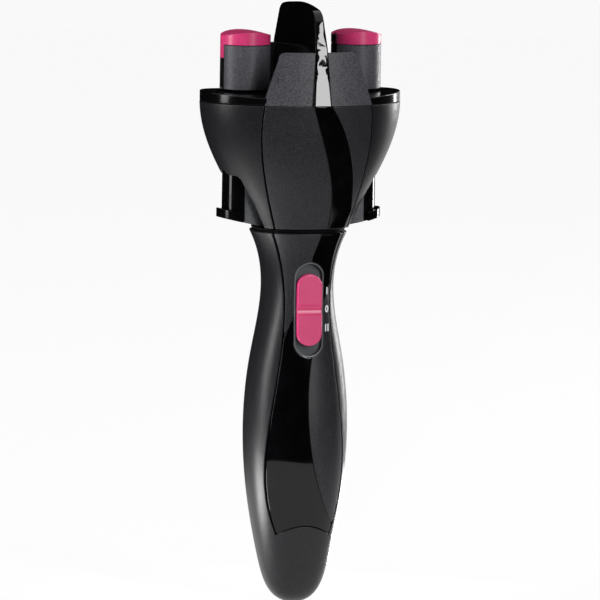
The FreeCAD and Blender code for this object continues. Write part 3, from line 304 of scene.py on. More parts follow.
def crossing(first, second, low, high):  # the height between low and high where two edges meet
    start = first(low) - second(low)
    for _ in range(40):
        middle = (low + high) / 2
        if (first(middle) - second(middle)) * start > 0:
            low = middle
        else:
            high = middle
    return low


class Wire:  # one output socket, with arithmetic on its values
    def __init__(self, paint, socket):
        self.paint = paint
        self.socket = socket

    def calc(self, operation, first, second):
        return self.paint.add("ShaderNodeMath", {"operation": operation}, {0: first, 1: second})

    def __add__(self, other):
        return self.calc("ADD", self, other)

    def __radd__(self, other):
        return self.calc("ADD", other, self)

    def __sub__(self, other):
        return self.calc("SUBTRACT", self, other)

    def __rsub__(self, other):
        return self.calc("SUBTRACT", other, self)

    def __mul__(self, other):
        return self.calc("MULTIPLY", self, other)

    def __rmul__(self, other):
        return self.calc("MULTIPLY", other, self)


class Paint:  # a node tree with one way to add a node
    def __init__(self, tree):
        self.tree = tree
        tree.nodes.clear()

    def add(self, kind, settings=None, sockets=None, out=0):
        node = self.tree.nodes.new(kind)
        for key, value in (settings or {}).items():
            if key == "stops":
                ramp = node.color_ramp
                ramp.elements[0].position, ramp.elements[0].color = value[0]
                ramp.elements[1].position, ramp.elements[1].color = value[-1]
                for place, colour in value[1:-1]:
                    ramp.elements.new(place).color = colour
            else:
                setattr(node, key, value)
        for key, value in (sockets or {}).items():
            if isinstance(value, Wire):
                self.tree.links.new(value.socket, node.inputs[key])
            else:
                node.inputs[key].default_value = value
        return Wire(self, node.outputs[out]) if node.outputs else node

    def place(self):  # millimetres in the piece's own frame
        spot = self.add("ShaderNodeTexCoord", out=3)
        return self.add("ShaderNodeVectorMath", {"operation": "SCALE"}, {0: spot, 3: 1 / mm})

    def noise(self, size, detail, rough):
        return self.add("ShaderNodeTexNoise", {}, {"Vector": self.place(), "Scale": 1 / size,
                                                   "Detail": detail, "Roughness": rough})

    def ramp(self, value, stops):
        grey = [(place, (level, level, level, 1)) for place, level in stops]
        return self.add("ShaderNodeValToRGB", {"stops": grey}, {"Fac": value})

    def mixed(self, share, first, second):
        return self.add("ShaderNodeMix", {"data_type": "RGBA"}, {0: share, 6: first, 7: second}, out=2)

    def bump(self, height, strength, distance):
        return self.add("ShaderNodeBump", {}, {"Strength": strength, "Distance": distance, "Height": height})

    def shown(self):  # 1 where the ray comes from the camera, or from a reflection or through glass
        camera, glossy, through = (self.add("ShaderNodeLightPath", out=index) for index in (0, 3, 6))
        first = self.add("ShaderNodeMath", {"operation": "MAXIMUM"}, {0: camera, 1: glossy})
        return self.add("ShaderNodeMath", {"operation": "MAXIMUM"}, {0: first, 1: through})

    def finish(self, **sockets):
        names = {"colour": "Base Color", "rough": "Roughness", "metal": "Metallic", "normal": "Normal",
                 "specular": "Specular IOR Level"}
        named = {names[key]: value for key, value in sockets.items()}
        shader = self.add("ShaderNodeBsdfPrincipled", {}, named)
        self.add("ShaderNodeOutputMaterial", {}, {"Surface": shader})


def newPaint(name):
    material = bpy.data.materials.new(name)
    material.use_nodes = True
    return material, Paint(material.node_tree)


def colour(red, green, blue):  # screen values from 0 to 255
    def linear(value):
        value /= 255
        return value / 12.92 if value <= 0.04045 else ((value + 0.055) / 1.055) ** 2.4
    return (linear(red), linear(green), linear(blue), 1.0)


# moulded plastic with a fine speckled grain
def grainPaint(name, base, high, grain, rough, strength, specular=0.35):
    material, paint = newPaint(name)
    fine = paint.noise(size=grain, detail=3.0, rough=0.6)
    broad = paint.noise(size=26.0, detail=3.0, rough=0.5)
    speck = paint.ramp(fine, [(0.38, 0.0), (0.66, 1.0)])
    tone = paint.mixed(speck * 0.65 + broad * 0.35, base, high)
    level = rough - 0.05 + 0.12 * speck
    normal = paint.bump(fine, strength, distance=0.00006)
    paint.finish(colour=tone, rough=level, normal=normal, specular=specular)
    return material


# polished plastic with faint moulding waves, dust and hairline rubs
def glossPaint(name, base, rough, specular):
    material, paint = newPaint(name)
    wave = paint.noise(size=14.0, detail=1.0, rough=0.4)
    dust = paint.ramp(paint.noise(size=0.9, detail=2.0, rough=0.7), [(0.70, 0.0), (0.80, 1.0)])
    smear = paint.ramp(paint.noise(size=9.0, detail=4.0, rough=0.6), [(0.45, 0.0), (0.75, 1.0)])
    level = rough + 0.05 * smear + 0.10 * dust
    tone = paint.mixed(smear * 0.3 + dust * 0.5, base, colour(16, 16, 18))
    normal = paint.bump(wave, strength=0.05, distance=0.0002)
    paint.finish(colour=tone, rough=level, normal=normal, specular=specular)
    return material


# smooth moulded plastic or ink, with a soft drift between two tones
def satinPaint(name, base, high, rough, grain=0.5, strength=0.12):
    material, paint = newPaint(name)
    fine = paint.noise(size=grain, detail=3.0, rough=0.6)
    broad = paint.noise(size=6.0, detail=2.0, rough=0.5)
    tone = paint.mixed(fine * 0.5 + broad * 0.5, base, high)
    normal = paint.bump(fine, strength, distance=0.00004)
    paint.finish(colour=tone, rough=rough - 0.04 + 0.08 * fine, normal=normal)
    return material


def metalPaint(name, base, rough):  # turned metal with a slight stain
    material, paint = newPaint(name)
    grain = paint.noise(size=0.15, detail=3.0, rough=0.6)
    stain = paint.noise(size=3.0, detail=3.0, rough=0.6)
    tone = paint.mixed(stain * 0.5, base, tuple(0.6 * value for value in base[:3]) + (1.0,))
    normal = paint.bump(grain, strength=0.2, distance=0.00003)
    paint.finish(colour=tone, metal=1.0, rough=rough + 0.15 * grain, normal=normal)
    return material


# name, dark and light tone, size of the grain, roughness, depth of the grain, then specular if it is unusual
softTouch = grainPaint("softTouchBlack", colour(13, 13, 15), colour(34, 34, 37), 0.5, 0.34, 0.8)
panelMatte = grainPaint("panelBlack", colour(14, 14, 16), colour(48, 48, 52), 0.5, 0.36, 0.9)
shieldMatte = grainPaint("shieldGrain", colour(30, 30, 33), colour(86, 86, 92), 0.55, 0.42, 1.0)
postMatte = grainPaint("postGrey", colour(46, 46, 50), colour(92, 92, 98), 0.5, 0.40, 0.8)
guideGrey = grainPaint("guideGrey", colour(38, 39, 42), colour(58, 59, 63), 0.36, 0.46, 0.5)
guideGrain = grainPaint("guideGrain", colour(54, 55, 58), colour(92, 93, 97), 0.5, 0.46, 0.6)
collarBlack = grainPaint("collarBlack", colour(5, 5, 6), colour(12, 12, 13), 0.4, 0.6, 0.3, 0.1)
# name, tone, roughness, specular
pianoBlack = glossPaint("pianoBlack", colour(4, 4, 5), 0.04, 0.35)
coverBlack = glossPaint("coverBlack", colour(6, 6, 7), 0.14, 0.2)
glossTrim = glossPaint("glossTrim", colour(5, 5, 6), 0.10, 0.25)
# name, dark and light tone, roughness, then size and depth of the grain
pinkSatin = satinPaint("pinkSatin", colour(190, 44, 98), colour(206, 60, 114), 0.30)
trackGrey = satinPaint("trackGrey", colour(52, 57, 60), colour(66, 72, 75), 0.5, 0.4, 0.3)
# a paler copy of the track's grey for its rim: painted highlight on the edge level with the panel
rimHighlightGrey = satinPaint("rimHighlightGrey", colour(72, 75, 77), colour(92, 95, 98), 0.3)
inkWhite = satinPaint("inkWhite", colour(214, 216, 220), colour(232, 234, 236), 0.45, 0.2, 0.1)
cellWrap = satinPaint("cellWrap", colour(40, 46, 58), colour(62, 70, 84), 0.3, 2.0, 0.05)
boardGreen = satinPaint("boardGreen", colour(20, 74, 46), colour(32, 92, 58), 0.4, 1.2, 0.2)
nylon = satinPaint("nylonWhite", colour(206, 204, 196), colour(222, 220, 212), 0.42, 0.8, 0.15)
leadRed = satinPaint("leadRed", colour(150, 24, 22), colour(172, 36, 32), 0.35, 0.6, 0.1)
# name, tone, roughness
steel = metalPaint("steel", (0.56, 0.57, 0.58, 1.0), 0.28)
brass = metalPaint("brass", (0.72, 0.52, 0.24, 1.0), 0.30)
print("materials made")

slotPaint = {"board": boardGreen, "brass": brass, "casing": softTouch, "cell": cellWrap,
             "collar": collarBlack, "frame": guideGrey, "gear": nylon, "gloss": pianoBlack, "lead": leadRed,
             "panel": panelMatte, "pink": pinkSatin, "steel": steel, "track": trackGrey}
slotOf = {item["node"]: item["material_slot"] for item in frame["record"]["subparts"]}
for name, node in nodes.items():
    paint = slotPaint.get(slotOf.get(name), softTouch)
    if not node.data.materials:
        node.data.materials.append(paint)
    for place in node.material_slots:
        place.link = "OBJECT"
        place.material = paint


panelSizes = dict(
    seam=[(11.4, 29.0), (16.3, 68.0), (10.2, 116.0), (15.4, 155.0)],  # half width, height
    arch=4.0, archReach=14.0, foot=29.0, top=155.0,  # the foot's arch fades out over the reach
    ribbonLeft=[(6.5, 160.0), (4.5, 155.0), (-4.06, 129.0), (-13.0, 105.0)],
    ribbonRight=[(19.0, 155.0), (8.12, 130.0), (0.9, 102.0), (0.0, 75.0), (4.5, 51.0), (15.0, 29.0)],
    leftCross=(106.0, 125.0), rightCross=(125.0, 150.0), lowCross=(29.5, 45.0),  # where ribbon and seam meet
    upperStart=2.6, lowerStart=1.7, lowerStop=3.4, ribbonStart=3,  # how far from there the parts end
    doorHalf=13.5, doorLow=32.3, doorHigh=92.6, doorCorner=3.0, doorTip=0.1,
    screwX=8.5, screwHeight=99.6, screwHole=2.3,
)
switchSizes = dict(height=123.3, trackHalf=6.3, trackLength=39.6, gap=0.05, rimDepth=0.25)
shellSizes = dict(
    tip=[0.0, 0.6, 1.3, 2.1], lowStart=3.2, lowStep=1.3, highStep=1.15,  # heights of the rows
    closing=(0.97, 0.5, 0.12),  # rings that close the lowest end, as shares of its outline
    backColumns=96, frontColumns=32,
)
farAway = 9.0  # what an outline on the back answers for a spot on the front

panelEdge = edgeThrough(panelSizes["seam"])
ribbonLeft = edgeThrough(panelSizes["ribbonLeft"])
ribbonRight = edgeThrough(panelSizes["ribbonRight"])


def leftSeam(height):
    return -panelEdge(height)


def archLift(across, height):  # how far the panel's foot rises above its corners, fading upwards
    half = panelEdge(panelSizes["foot"])
    rise = panelSizes["arch"] * max(0.0, 1 - (across / half) ** 2)
    return rise * max(0.0, 1 - (height - panelSizes["foot"]) / panelSizes["archReach"]) ** 2


def footLift(across, height):  # the same arch on the shell's foot, fading downwards
    half = panelEdge(panelSizes["foot"])
    return panelSizes["arch"] * max(0.0, 1 - (across / half) ** 2) * (height / panelSizes["foot"]) ** 4


def boxDistance(across, up, corner):  # distance from a box with rounded corners, given from their centres
    return math.hypot(max(across, 0), max(up, 0)) + min(max(across, up), 0) - corner


def outsideSwitch(point):  # distance from the switch's round-ended opening, seen from the front
    straight = switchSizes["trackLength"] / 2 - switchSizes["trackHalf"]
    rise = max(0.0, abs(point.z - switchSizes["height"]) - straight)
    return math.hypot(point.x, rise) - switchSizes["trackHalf"] - switchSizes["gap"] - edge


def outsideDoor(point):  # distance from the battery door's rounded outline, on the back
    if point.y < 0:
        return farAway
    half = panelSizes["doorHalf"] - panelSizes["doorCorner"]
    middle = (panelSizes["doorHigh"] + panelSizes["doorLow"]) / 2
    tall = (panelSizes["doorHigh"] - panelSizes["doorLow"]) / 2 - panelSizes["doorCorner"]
    return boxDistance(abs(point.x) - half, abs(point.z - middle) - tall, panelSizes["doorCorner"]) - margin


def outsideScrew(point):  # distance from the nearer screw hole, on the back
    if point.y < 0:
        return farAway
    away = math.hypot(abs(point.x) - panelSizes["screwX"], point.z - panelSizes["screwHeight"])
    return away - panelSizes["screwHole"] - edge


def rowBetween(start, stop, height, columns):  # places at one height, evenly spaced by angle
    return [(start + (stop - start) * index / columns, height) for index in range(columns + 1)]


def makeRearShell():
    sheet = Sheet(handleForm)
    rightEdge = inset(panelEdge, margin, 1)
    columns = shellSizes["frontColumns"]
    foot, top = panelSizes["foot"], panelSizes["top"]
    lowHeights = shellSizes["tip"] + spread(shellSizes["lowStart"], foot - margin, shellSizes["lowStep"])
    highHeights = spread(foot - margin, top - edge, shellSizes["highStep"])[1:]

    def ends(height):  # the angles of the panel's two seams, which close in below its foot
        share = handleForm.size(height)[0] / handleForm.size(foot)[0] if height < foot else 1.0
        start = handleForm.angleAt(rightEdge(max(height, foot)) * share, height)
        return start, math.pi - start

    back = sheet.grid([rowBetween(*ends(height), height, shellSizes["backColumns"])
                       for height in lowHeights + highHeights])
    fronts = []
    for row, height in enumerate(lowHeights):
        start, stop = ends(height)
        front = [back[row][-1]]
        for index in range(1, columns):
            angle = stop + (2 * math.pi + start - stop) * index / columns
            across = handleForm.point(angle, height).x
            front.append(sheet.corner(angle, height + footLift(across, height)))
        fronts.append(front + [back[row][0]])
    sheet.join(fronts)
    rings = [back[0] + fronts[0][1:-1]]
    places = [sheet.places[vert][:2] for vert in rings[0]]
    rings += [[sheet.corner(*place, shrink) for place in places] for shrink in shellSizes["closing"]]
    sheet.join(rings, ring=True)
    sheet.maker.faces.new(rings[-1])
    sheet.punch(outsideDoor)
    sheet.punch(outsideScrew)
    shell = sheet.solid("rearShell", softTouch, wall, edge)
    return settle(shell, "handle", "casing", "handle_rear_shell")


def ribbonEnds():
    leftCross = crossing(leftSeam, ribbonLeft, *panelSizes["leftCross"])
    rightCross = crossing(panelEdge, ribbonRight, *panelSizes["rightCross"])
    lowCross = crossing(panelEdge, ribbonRight, *panelSizes["lowCross"])
    return leftCross, rightCross, lowCross


layers = dict(  # how far each layer of a front lies under the form, its thickness and the radius of its edges
    base=(inlay, wall - inlay, bodySizes["baseEdge"]),
    skin=(0.0, inlay, edge),
    ribbon=(0.0, inlay - ribbonGap, edge),
)


def laid(name, form, layer, material, left, right, heights, columns, lift=None, opening=None):
    sink, thick, rim = layers[layer]
    sheet = Sheet(form, sink)
    sheet.grid(strip(form, left, right, heights, columns, lift))
    if opening:
        sheet.punch(opening)
    return sheet.solid(name, material, thick, rim)


def joined(name, pieces):  # several meshes in one piece, normals kept
    with bpy.context.temp_override(active_object=pieces[0], selected_editable_objects=pieces):
        bpy.ops.object.join()
    pieces[0].name = name
    pieces[0].data.name = name
    return pieces[0]


def handlePanel():
    foot, top = panelSizes["foot"], panelSizes["top"]
    leftCross, rightCross, lowCross = ribbonEnds()
    leftEdge, rightEdge = inset(leftSeam, margin, 1), inset(panelEdge, margin, -1)
    toRibbon = margin / 2 + edge / 2
    upperHeights = spread(leftCross + panelSizes["upperStart"], top - edge, step=0.7)
    lowerHeights = spread(lowCross + panelSizes["lowerStart"], rightCross - panelSizes["lowerStop"], step=0.9)
    pieces = [
        laid("panelBase", handleForm, "base", panelMatte, leftEdge, rightEdge,
             spread(foot + margin, top - edge, step=1.2), columns=36, lift=archLift, opening=outsideSwitch),
        laid("panelUpper", handleForm, "skin", panelMatte, leftEdge, inset(ribbonLeft, toRibbon, -1),
             upperHeights, columns=26, opening=outsideSwitch),
        laid("panelLower", handleForm, "skin", panelMatte, inset(ribbonRight, toRibbon, 1), rightEdge,
             lowerHeights, columns=26, opening=outsideSwitch),
    ]
    return settle(joined("frontPanel", pieces), "handle", "panel", "handle_front_panel")


def handleRibbon():
    foot, top = panelSizes["foot"], panelSizes["top"]
    leftCross, rightCross, lowCross = ribbonEnds()
    leftEdge, leftInner = inset(leftSeam, margin, 1), inset(ribbonLeft, edge / 2 + ribbonGap, 1)
    rightEdge, rightInner = inset(panelEdge, margin, -1), inset(ribbonRight, edge / 2 + ribbonGap, -1)
    heights = spread(foot + margin, lowCross, step=0.9)[:-1] + spread(lowCross, leftCross, step=1.0)[:-1]
    heights += spread(leftCross, rightCross, step=0.7)[:-1] + spread(rightCross, top - edge, step=0.9)
    start = leftCross - panelSizes["ribbonStart"]

    def left(height):
        return max(leftEdge(height), leftInner(height)) if height > start else leftEdge(height)

    def right(height):
        return min(rightEdge(height), rightInner(height))

    band = laid("handleRibbon", handleForm, "ribbon", pianoBlack, left, right, heights,
                columns=40, lift=archLift, opening=outsideSwitch)
    return settle(band, "handle", "gloss", "handle_ribbon")


def batteryDoor():
    low, high, half, corner, tip = (panelSizes[key] for key in
                                    ("doorLow", "doorHigh", "doorHalf", "doorCorner", "doorTip"))
    columns, bends = 40, 6
    bend = [corner * (1 - math.cos(step * math.pi / (2 * bends))) for step in range(bends)]
    heights = [low + edge + tip + rise for rise in bend]
    heights += spread(low + corner + edge, high - corner - edge, step=1.3)
    heights += [high - edge - tip - rise for rise in reversed(bend)]
    rows = []
    for height in heights:
        drop = max(0.0, low + edge + corner - height, height - (high - edge - corner))
        size = half - edge - corner + math.sqrt(max(0.0, corner ** 2 - drop ** 2))
        rows.append([(-handleForm.angleAt(size - 2 * size * index / columns, height), height)
                     for index in range(columns + 1)])
    sheet = Sheet(handleForm)
    sheet.grid(rows)
    door = sheet.solid("batteryDoor", softTouch, wall, edge)
    return settle(door, "battery_cover", "casing", "battery_door")


makeRearShell()
handlePanel()
handleRibbon()
batteryDoor()
print("handle shells made")


petalSizes = dict(
    seamRight=[(17.0, 157.0), (20.5, 172.0), (23.0, 188.0), (23.2, 209.0)],
    seamLeft=[(-15.0, 157.0), (-19.5, 172.0), (-23.0, 188.0), (-23.2, 209.0)],
    ribbonLeft=[(6.5, 157.0), (6.9, 172.0), (4.2, 185.0), (-3.1, 209.0)],
    ribbonRight=[(18.0, 157.0), (17.1, 172.0), (14.3, 188.0), (4.3, 209.0)],
    low=157.0, top=209.0, cross=(157.5, 168.0), rightStart=3.0,  # ribbon and seam meet as on the handle
    slotHalf=12.2, slotTop=178.6, slotCorner=1.5, relief=9.25, postX=24.0,
)
petalEdge = edgeThrough(petalSizes["seamRight"])
leftPetalSeam = edgeThrough(petalSizes["seamLeft"])
petalLeft = edgeThrough(petalSizes["ribbonLeft"])
petalRight = edgeThrough(petalSizes["ribbonRight"])


def makePetals():
    low, top = petalSizes["low"] + edge, petalSizes["top"] - edge
    heights = spread(low, top, step=1.0)
    cross = crossing(petalEdge, petalRight, *petalSizes["cross"])
    leftEdge, rightEdge = inset(leftPetalSeam, margin, 1), inset(petalEdge, margin, -1)
    toPetal, toRibbon = edge + bodySizes["petalGap"], edge / 2 + ribbonGap
    pieces = [
        laid("petalBase", headForm, "base", panelMatte, leftEdge, rightEdge, heights, columns=40),
        laid("petalLeft", headForm, "skin", panelMatte, leftEdge, inset(petalLeft, toPetal, -1), heights,
             columns=26),
        laid("petalRight", headForm, "skin", panelMatte, inset(petalRight, toPetal, 1), rightEdge,
             spread(cross + petalSizes["rightStart"], top, step=0.9), columns=22),
    ]
    front = settle(joined("petalFront", pieces), "head", "panel", "petal_front")

    def ribbonSide(height):
        return min(rightEdge(height), inset(petalRight, toRibbon, -1)(height))

    band = laid("petalRibbonFront", headForm, "ribbon", pianoBlack, inset(petalLeft, toRibbon, 1), ribbonSide,
                heights, columns=24)
    settle(band, "head", "gloss", "petal_ribbon_front")
    settle(halfTurned(front, "petalRear"), "head", "panel", "petal_rear")
    settle(halfTurned(band, "petalRibbonRear"), "head", "gloss", "petal_ribbon_rear")


def outsideOpening(point):  # distance from the pusher's opening in a wing
    corner = petalSizes["slotCorner"]
    across, up = abs(point.y) - (petalSizes["slotHalf"] - corner), point.z - (petalSizes["slotTop"] - corner)
    relief = math.hypot(abs(point.x) - petalSizes["postX"], point.y) - petalSizes["relief"]
    return min(boxDistance(across, up, corner), relief) - edge


def makeWings():
    low, top = petalSizes["low"] + edge, petalSizes["top"] - edge
    frontEdge, rearEdge = inset(petalEdge, margin, 1), inset(leftPetalSeam, margin, -1)
    rows = []
    for height in spread(low, top, step=0.8):
        start = headForm.angleAt(frontEdge(height), height)
        stop = -headForm.angleAt(-rearEdge(height), height)
        rows.append(rowBetween(start, stop, height, columns=80))
    sheet = Sheet(headForm)
    sheet.grid(rows)
    sheet.punch(outsideOpening)
    right = settle(sheet.solid("wingRight", softTouch, wall, edge), "head", "casing", "wing_right")
    settle(halfTurned(right, "wingLeft"), "head", "casing", "wing_left")


makePetals()
makeWings()
print("head shells made")


def applied(piece):  # works the modifiers into the mesh
    mesh = bpy.data.meshes.new_from_object(piece.evaluated_get(bpy.context.evaluated_depsgraph_get()))
    piece.modifiers.clear()
    piece.data = mesh


softSizes = dict(
    cover=0.45, shield=0.4, fin=0.3, cap=0.45, post=0.2, panel=0.25, guide=0.3, pusher=0.3, button=0.5,
    track=0.12, collar=0.25,  # radius of the rounded edges
    segments=3, flat=0.8, bevelFrom=35, sharpFrom=40,  # degrees between faces
)


def softened(name, node, kind, materials, body, slot, pick=None, shift=None):  # a CAD node, edges rounded
    mesh = nodes[node].data.copy()
    mesh.materials.clear()
    if shift:
        for vert in mesh.vertices:
            vert.co += shift(vert.co / mm) * mm
    maker = bmesh.new()
    maker.from_mesh(mesh)
    bmesh.ops.remove_doubles(maker, verts=maker.verts, dist=1e-6)
    bmesh.ops.dissolve_limit(maker, angle_limit=math.radians(softSizes["flat"]), verts=maker.verts,
                             edges=maker.edges)
    for face in maker.faces:
        face.material_index = 0
        face.smooth = True
    maker.to_mesh(mesh)
    maker.free()
    for material in materials:
        mesh.materials.append(material)
    piece = linked(name, mesh)
    bevel = piece.modifiers.new("bevel", "BEVEL")
    bevel.width, bevel.segments = softSizes[kind] * mm, softSizes["segments"]
    bevel.limit_method, bevel.angle_limit = "ANGLE", math.radians(softSizes["bevelFrom"])
    applied(piece)
    piece.data.set_sharp_from_angle(angle=math.radians(softSizes["sharpFrom"]))
    if pick:
        for face in piece.data.polygons:
            face.material_index = pick(Vector(face.center) / mm)
    weighted = piece.modifiers.new("weighted", "WEIGHTED_NORMAL")
    weighted.keep_sharp = True
    applied(piece)
    return settle(piece, body, slot, node)


def onRim(spot):  # 1 on the part of the track that is level with the panel, which gets a paler grey as painted highlight
    face = handleForm.point(handleForm.angleAt(spot.x, spot.z), spot.z)
    return 1 if spot.y < face.y + switchSizes["rimDepth"] else 0


finSizes = dict(proud=0.9, height=231.0, reach=5.0, edgeFrom=20)


def proud(spot):  # brings the fin's two edges out past the shields' top edges
    away = (spot.z - finSizes["height"]) / finSizes["reach"]
    amount = finSizes["proud"] * math.exp(-away ** 2) if abs(spot.y) > finSizes["edgeFrom"] else 0.0
    return Vector((0, math.copysign(amount, spot.y), 0))


springSizes = dict(seat=0.1966, lift=0.007, postX=0.024)  # metres; the seat is the upper end


def makeSprings():
    for side, middle in (("left", -springSizes["postX"]), ("right", springSizes["postX"])):
        mesh = nodes["hook_spring_" + side].data.copy()
        mesh.materials.clear()
        mesh.materials.append(steel)
        spring = linked("hookSpring" + side.capitalize(), mesh)
        settle(spring, "hook_" + side, "steel", "hook_spring_" + side)
        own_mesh(spring)


softened("headCover", "head_cover", "cover", [coverBlack], "head", "gloss")
softened("finBlade", "fin", "fin", [pianoBlack], "head", "gloss", shift=proud)
for side in ("left", "right"):
    suffix = side.capitalize()
    softened("hookCap" + suffix, "hook_cap_" + side, "cap", [pinkSatin], "cap_" + side, "pink")
    softened("hookPost" + suffix, "hook_post_" + side, "post", [collarBlack], "hook_" + side, "collar")
    softened("postPanel" + suffix, "post_panel_" + side, "panel", [postMatte], "hook_" + side, "panel")
    softened("pusherGuide" + suffix, "pusher_guide_" + side, "guide", [guideGrain], "head", "panel")
    softened("pusher" + suffix, "pusher_" + side, "pusher", [glossTrim], "pusher_" + side, "gloss")
for side in ("front", "rear"):
    softened("shield" + side.capitalize(), "shield_" + side, "shield", [shieldMatte], "head", "panel")
makeSprings()
softened("switchButton", "switch_button", "button", [pinkSatin], "switch", "pink")
softened("switchTrack", "switch_track", "track", [trackGrey, rimHighlightGrey], "handle", "track", onRim)
softened("neckCollar", "neck_collar", "collar", [collarBlack], "handle", "collar")
print("softened pieces made")


markSizes = dict(across=8.2, heights=(131.0, 123.5, 115.7), tall=3.0, stroke=0.5, wide=1.7,
                 proud=0.05, body=0.12, edge=0.02, step=0.5, ringCorners=32)


def inked(sheet, name):
    return sheet.solid(name, inkWhite, markSizes["body"], markSizes["edge"], steps=1)


def markBar(name, across, height):
    half, tall = markSizes["stroke"] / 2, markSizes["tall"] / 2
    heights = spread(height - tall, height + tall, markSizes["step"])
    sheet = Sheet(handleForm, -markSizes["proud"])
    sheet.grid(strip(handleForm, lambda level: across - half, lambda level: across + half, heights, 2))
    return inked(sheet, name)


def markRing(name, across, height):
    sheet = Sheet(handleForm, -markSizes["proud"])
    corners = markSizes["ringCorners"]
    rings = []
    for shrink in (0.0, markSizes["stroke"]):
        ring = []
        for index in range(corners):
            turn = 2 * math.pi * index / corners
            level = height + (markSizes["tall"] / 2 - shrink) * math.sin(turn)
            spot = across + (markSizes["wide"] / 2 - shrink) * math.cos(turn)
            ring.append(sheet.corner(handleForm.angleAt(spot, level), level))
        rings.append(ring)
    sheet.join(rings, ring=True)
    return inked(sheet, name)


def makeMarks():
    across, (high, middle, low) = markSizes["across"], markSizes["heights"]
    apart = (markSizes["wide"] - markSizes["stroke"]) / 2
    pieces = [markBar("markOne", across, high), markRing("markZero", across, middle),
              markBar("markTwoLeft", across - apart, low), markBar("markTwoRight", across + apart, low)]
    settle(joined("switchMarks", pieces), "handle", "panel")


makeMarks()
print("marks made")


cameraSizes = dict(
    azimuth=-17.0, elevation=5.6, roll=0.9,  # degrees; the roll leans the top to the right
    away=6000.0, frameWidth=249.7,  # millimetres
    aimHeight=125.7, aimRight=1.34,
    sensor=36.0, near=0.05, far=60.0,  # the sensor in millimetres, what it sees in metres
)


def direction(azimuth, elevation):  # from the braider towards a place; 0 is in front, 90 on the right
    turn, rise = math.radians(azimuth), math.radians(elevation)
    return Vector((math.sin(turn) * math.cos(rise), -math.cos(turn) * math.cos(rise), math.sin(rise)))


def makeCamera():
    turn, roll = math.radians(cameraSizes["azimuth"]), math.radians(cameraSizes["roll"])
    back = direction(cameraSizes["azimuth"], cameraSizes["elevation"])
    right = Vector((math.cos(turn), math.sin(turn), 0))
    up = back.cross(right)
    aim = Vector((0, 0, cameraSizes["aimHeight"])) + right * cameraSizes["aimRight"]
    leanRight = right * math.cos(roll) + up * math.sin(roll)
    leanUp = up * math.cos(roll) - right * math.sin(roll)
    data = bpy.data.cameras.new("camera")
    data.sensor_width = cameraSizes["sensor"]
    data.lens = data.sensor_width * cameraSizes["away"] / cameraSizes["frameWidth"]
    data.clip_start, data.clip_end = cameraSizes["near"], cameraSizes["far"]
    camera = linked("camera", data)
    leaning = Matrix((leanRight, leanUp, back)).transposed().to_4x4()
    camera.matrix_world = Matrix.Translation((aim + back * cameraSizes["away"]) * mm) @ leaning
    bpy.context.scene.camera = camera


lampSizes = dict(  # azimuth and elevation in degrees, distance, width and height in metres, power in watts
    keyLeft=(-90, 22, 1.6, 0.4, 1.6, 22),
    stripRight=(118, 10, 1.5, 0.12, 1.7, 26),
    frontStrip=(17, 22, 2.2, 0.28, 1.6, 28),
    lowLeft=(-100, -45, 0.17, 0.06, 0.06, 0.25),
    lowRight=(140, -45, 0.17, 0.06, 0.06, 0.5),
)
lampTarget = Vector((0, 0, 0.13))


def softbox(name, azimuth, elevation, away, width, height, power):
    back = direction(azimuth, elevation)
    data = bpy.data.lights.new(name, "AREA")
    data.shape = "RECTANGLE"
    data.size, data.size_y = width, height
    data.energy = power
    lamp = linked(name, data)
    lamp.location = lampTarget + back * away
    lamp.visible_camera = False
    lamp.rotation_mode = "QUATERNION"
    lamp.rotation_quaternion = back.to_track_quat("Z", "Y")


def staged(name, maker, material):  # a bmesh in metres becomes an object
    mesh = bpy.data.meshes.new(name)
    maker.to_mesh(mesh)
    maker.free()
    mesh.materials.append(material)
    return linked(name, mesh)


tentSizes = dict(
    start=-202, stop=108,  # degrees
    inner=0.3, outer=3.0, low=0.001, tall=2.6,  # metres
    columns=48,
)


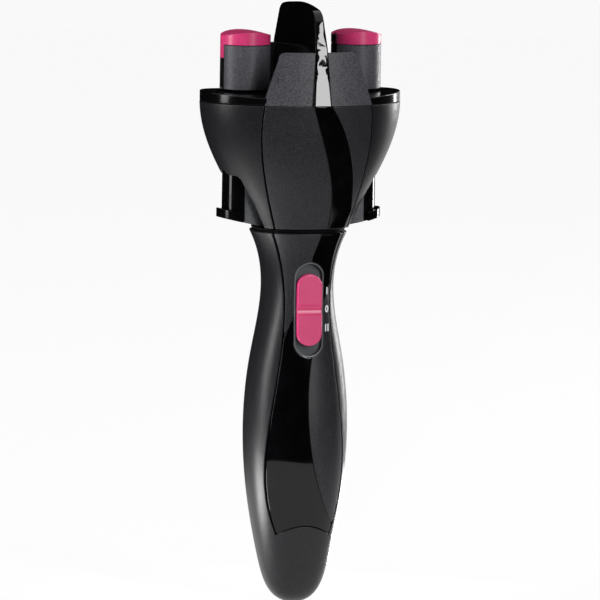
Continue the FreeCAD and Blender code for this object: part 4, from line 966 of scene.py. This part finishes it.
def blackTent():  # black cloth that only reflections see, so that gloss black has something dark to mirror
    material, paint = newPaint("clothBlack")
    shader = paint.add("ShaderNodeBsdfDiffuse", {}, {"Color": (0.002, 0.002, 0.002, 1)})
    paint.add("ShaderNodeOutputMaterial", {}, {"Surface": shader})
    start, stop, inner, outer, low, tall, columns = tentSizes.values()
    maker = bmesh.new()
    rows = []
    for reach, height in ((inner, low), (outer, low), (outer, tall)):
        row = []
        for index in range(columns + 1):
            turn = math.radians(start + (stop - start) * index / columns)
            row.append(maker.verts.new((reach * math.sin(turn), -reach * math.cos(turn), height)))
        rows.append(row)
    for lower, upper in zip(rows, rows[1:]):
        for index in range(columns):
            maker.faces.new((lower[index], lower[index + 1], upper[index + 1], upper[index]))
    tent = staged("tent", maker, material)
    tent.visible_camera = tent.visible_diffuse = tent.visible_shadow = tent.visible_transmission = False


stageSizes = dict(
    ambient=(0.20, 0.20, 0.205, 1),  # what the world gives the braider; cameras and reflections see white
    floorTone=(0.86, 0.86, 0.86, 1), floorRough=0.7, floorWhite=0.93,  # how white the floor looks to them
    reach=14.0, drop=0.0004,  # metres
)


def makeStage():
    white = (1, 1, 1, 1)
    world = bpy.data.worlds.new("studio")
    bpy.context.scene.world = world
    world.use_nodes = True
    paint = Paint(world.node_tree)
    level = paint.mixed(paint.shown(), stageSizes["ambient"], white)
    shade = paint.add("ShaderNodeBackground", {}, {"Color": level, "Strength": 1.0})
    paint.add("ShaderNodeOutputWorld", {}, {"Surface": shade})

    material, paint = newPaint("floorWhite")
    shader = paint.add("ShaderNodeBsdfPrincipled", {}, {"Base Color": stageSizes["floorTone"],
                                                        "Roughness": stageSizes["floorRough"]})
    glow = paint.add("ShaderNodeEmission", {}, {"Color": white, "Strength": 1.0})
    share = paint.shown() * stageSizes["floorWhite"]
    surface = paint.add("ShaderNodeMixShader", {}, {0: share, 1: shader, 2: glow})
    paint.add("ShaderNodeOutputMaterial", {}, {"Surface": surface})
    maker = bmesh.new()
    reach, drop = stageSizes["reach"], stageSizes["drop"]
    corners = ((-1, -1), (1, -1), (1, 1), (-1, 1))
    maker.faces.new([maker.verts.new((across * reach, along * reach, -drop)) for across, along in corners])
    floor = staged("floor", maker, material)

    for name, sizes in lampSizes.items():
        softbox(name, *sizes)
    blackTent()


makeCamera()
makeStage()
bpy.context.scene.view_settings.view_transform = "Standard"
print("stage made")
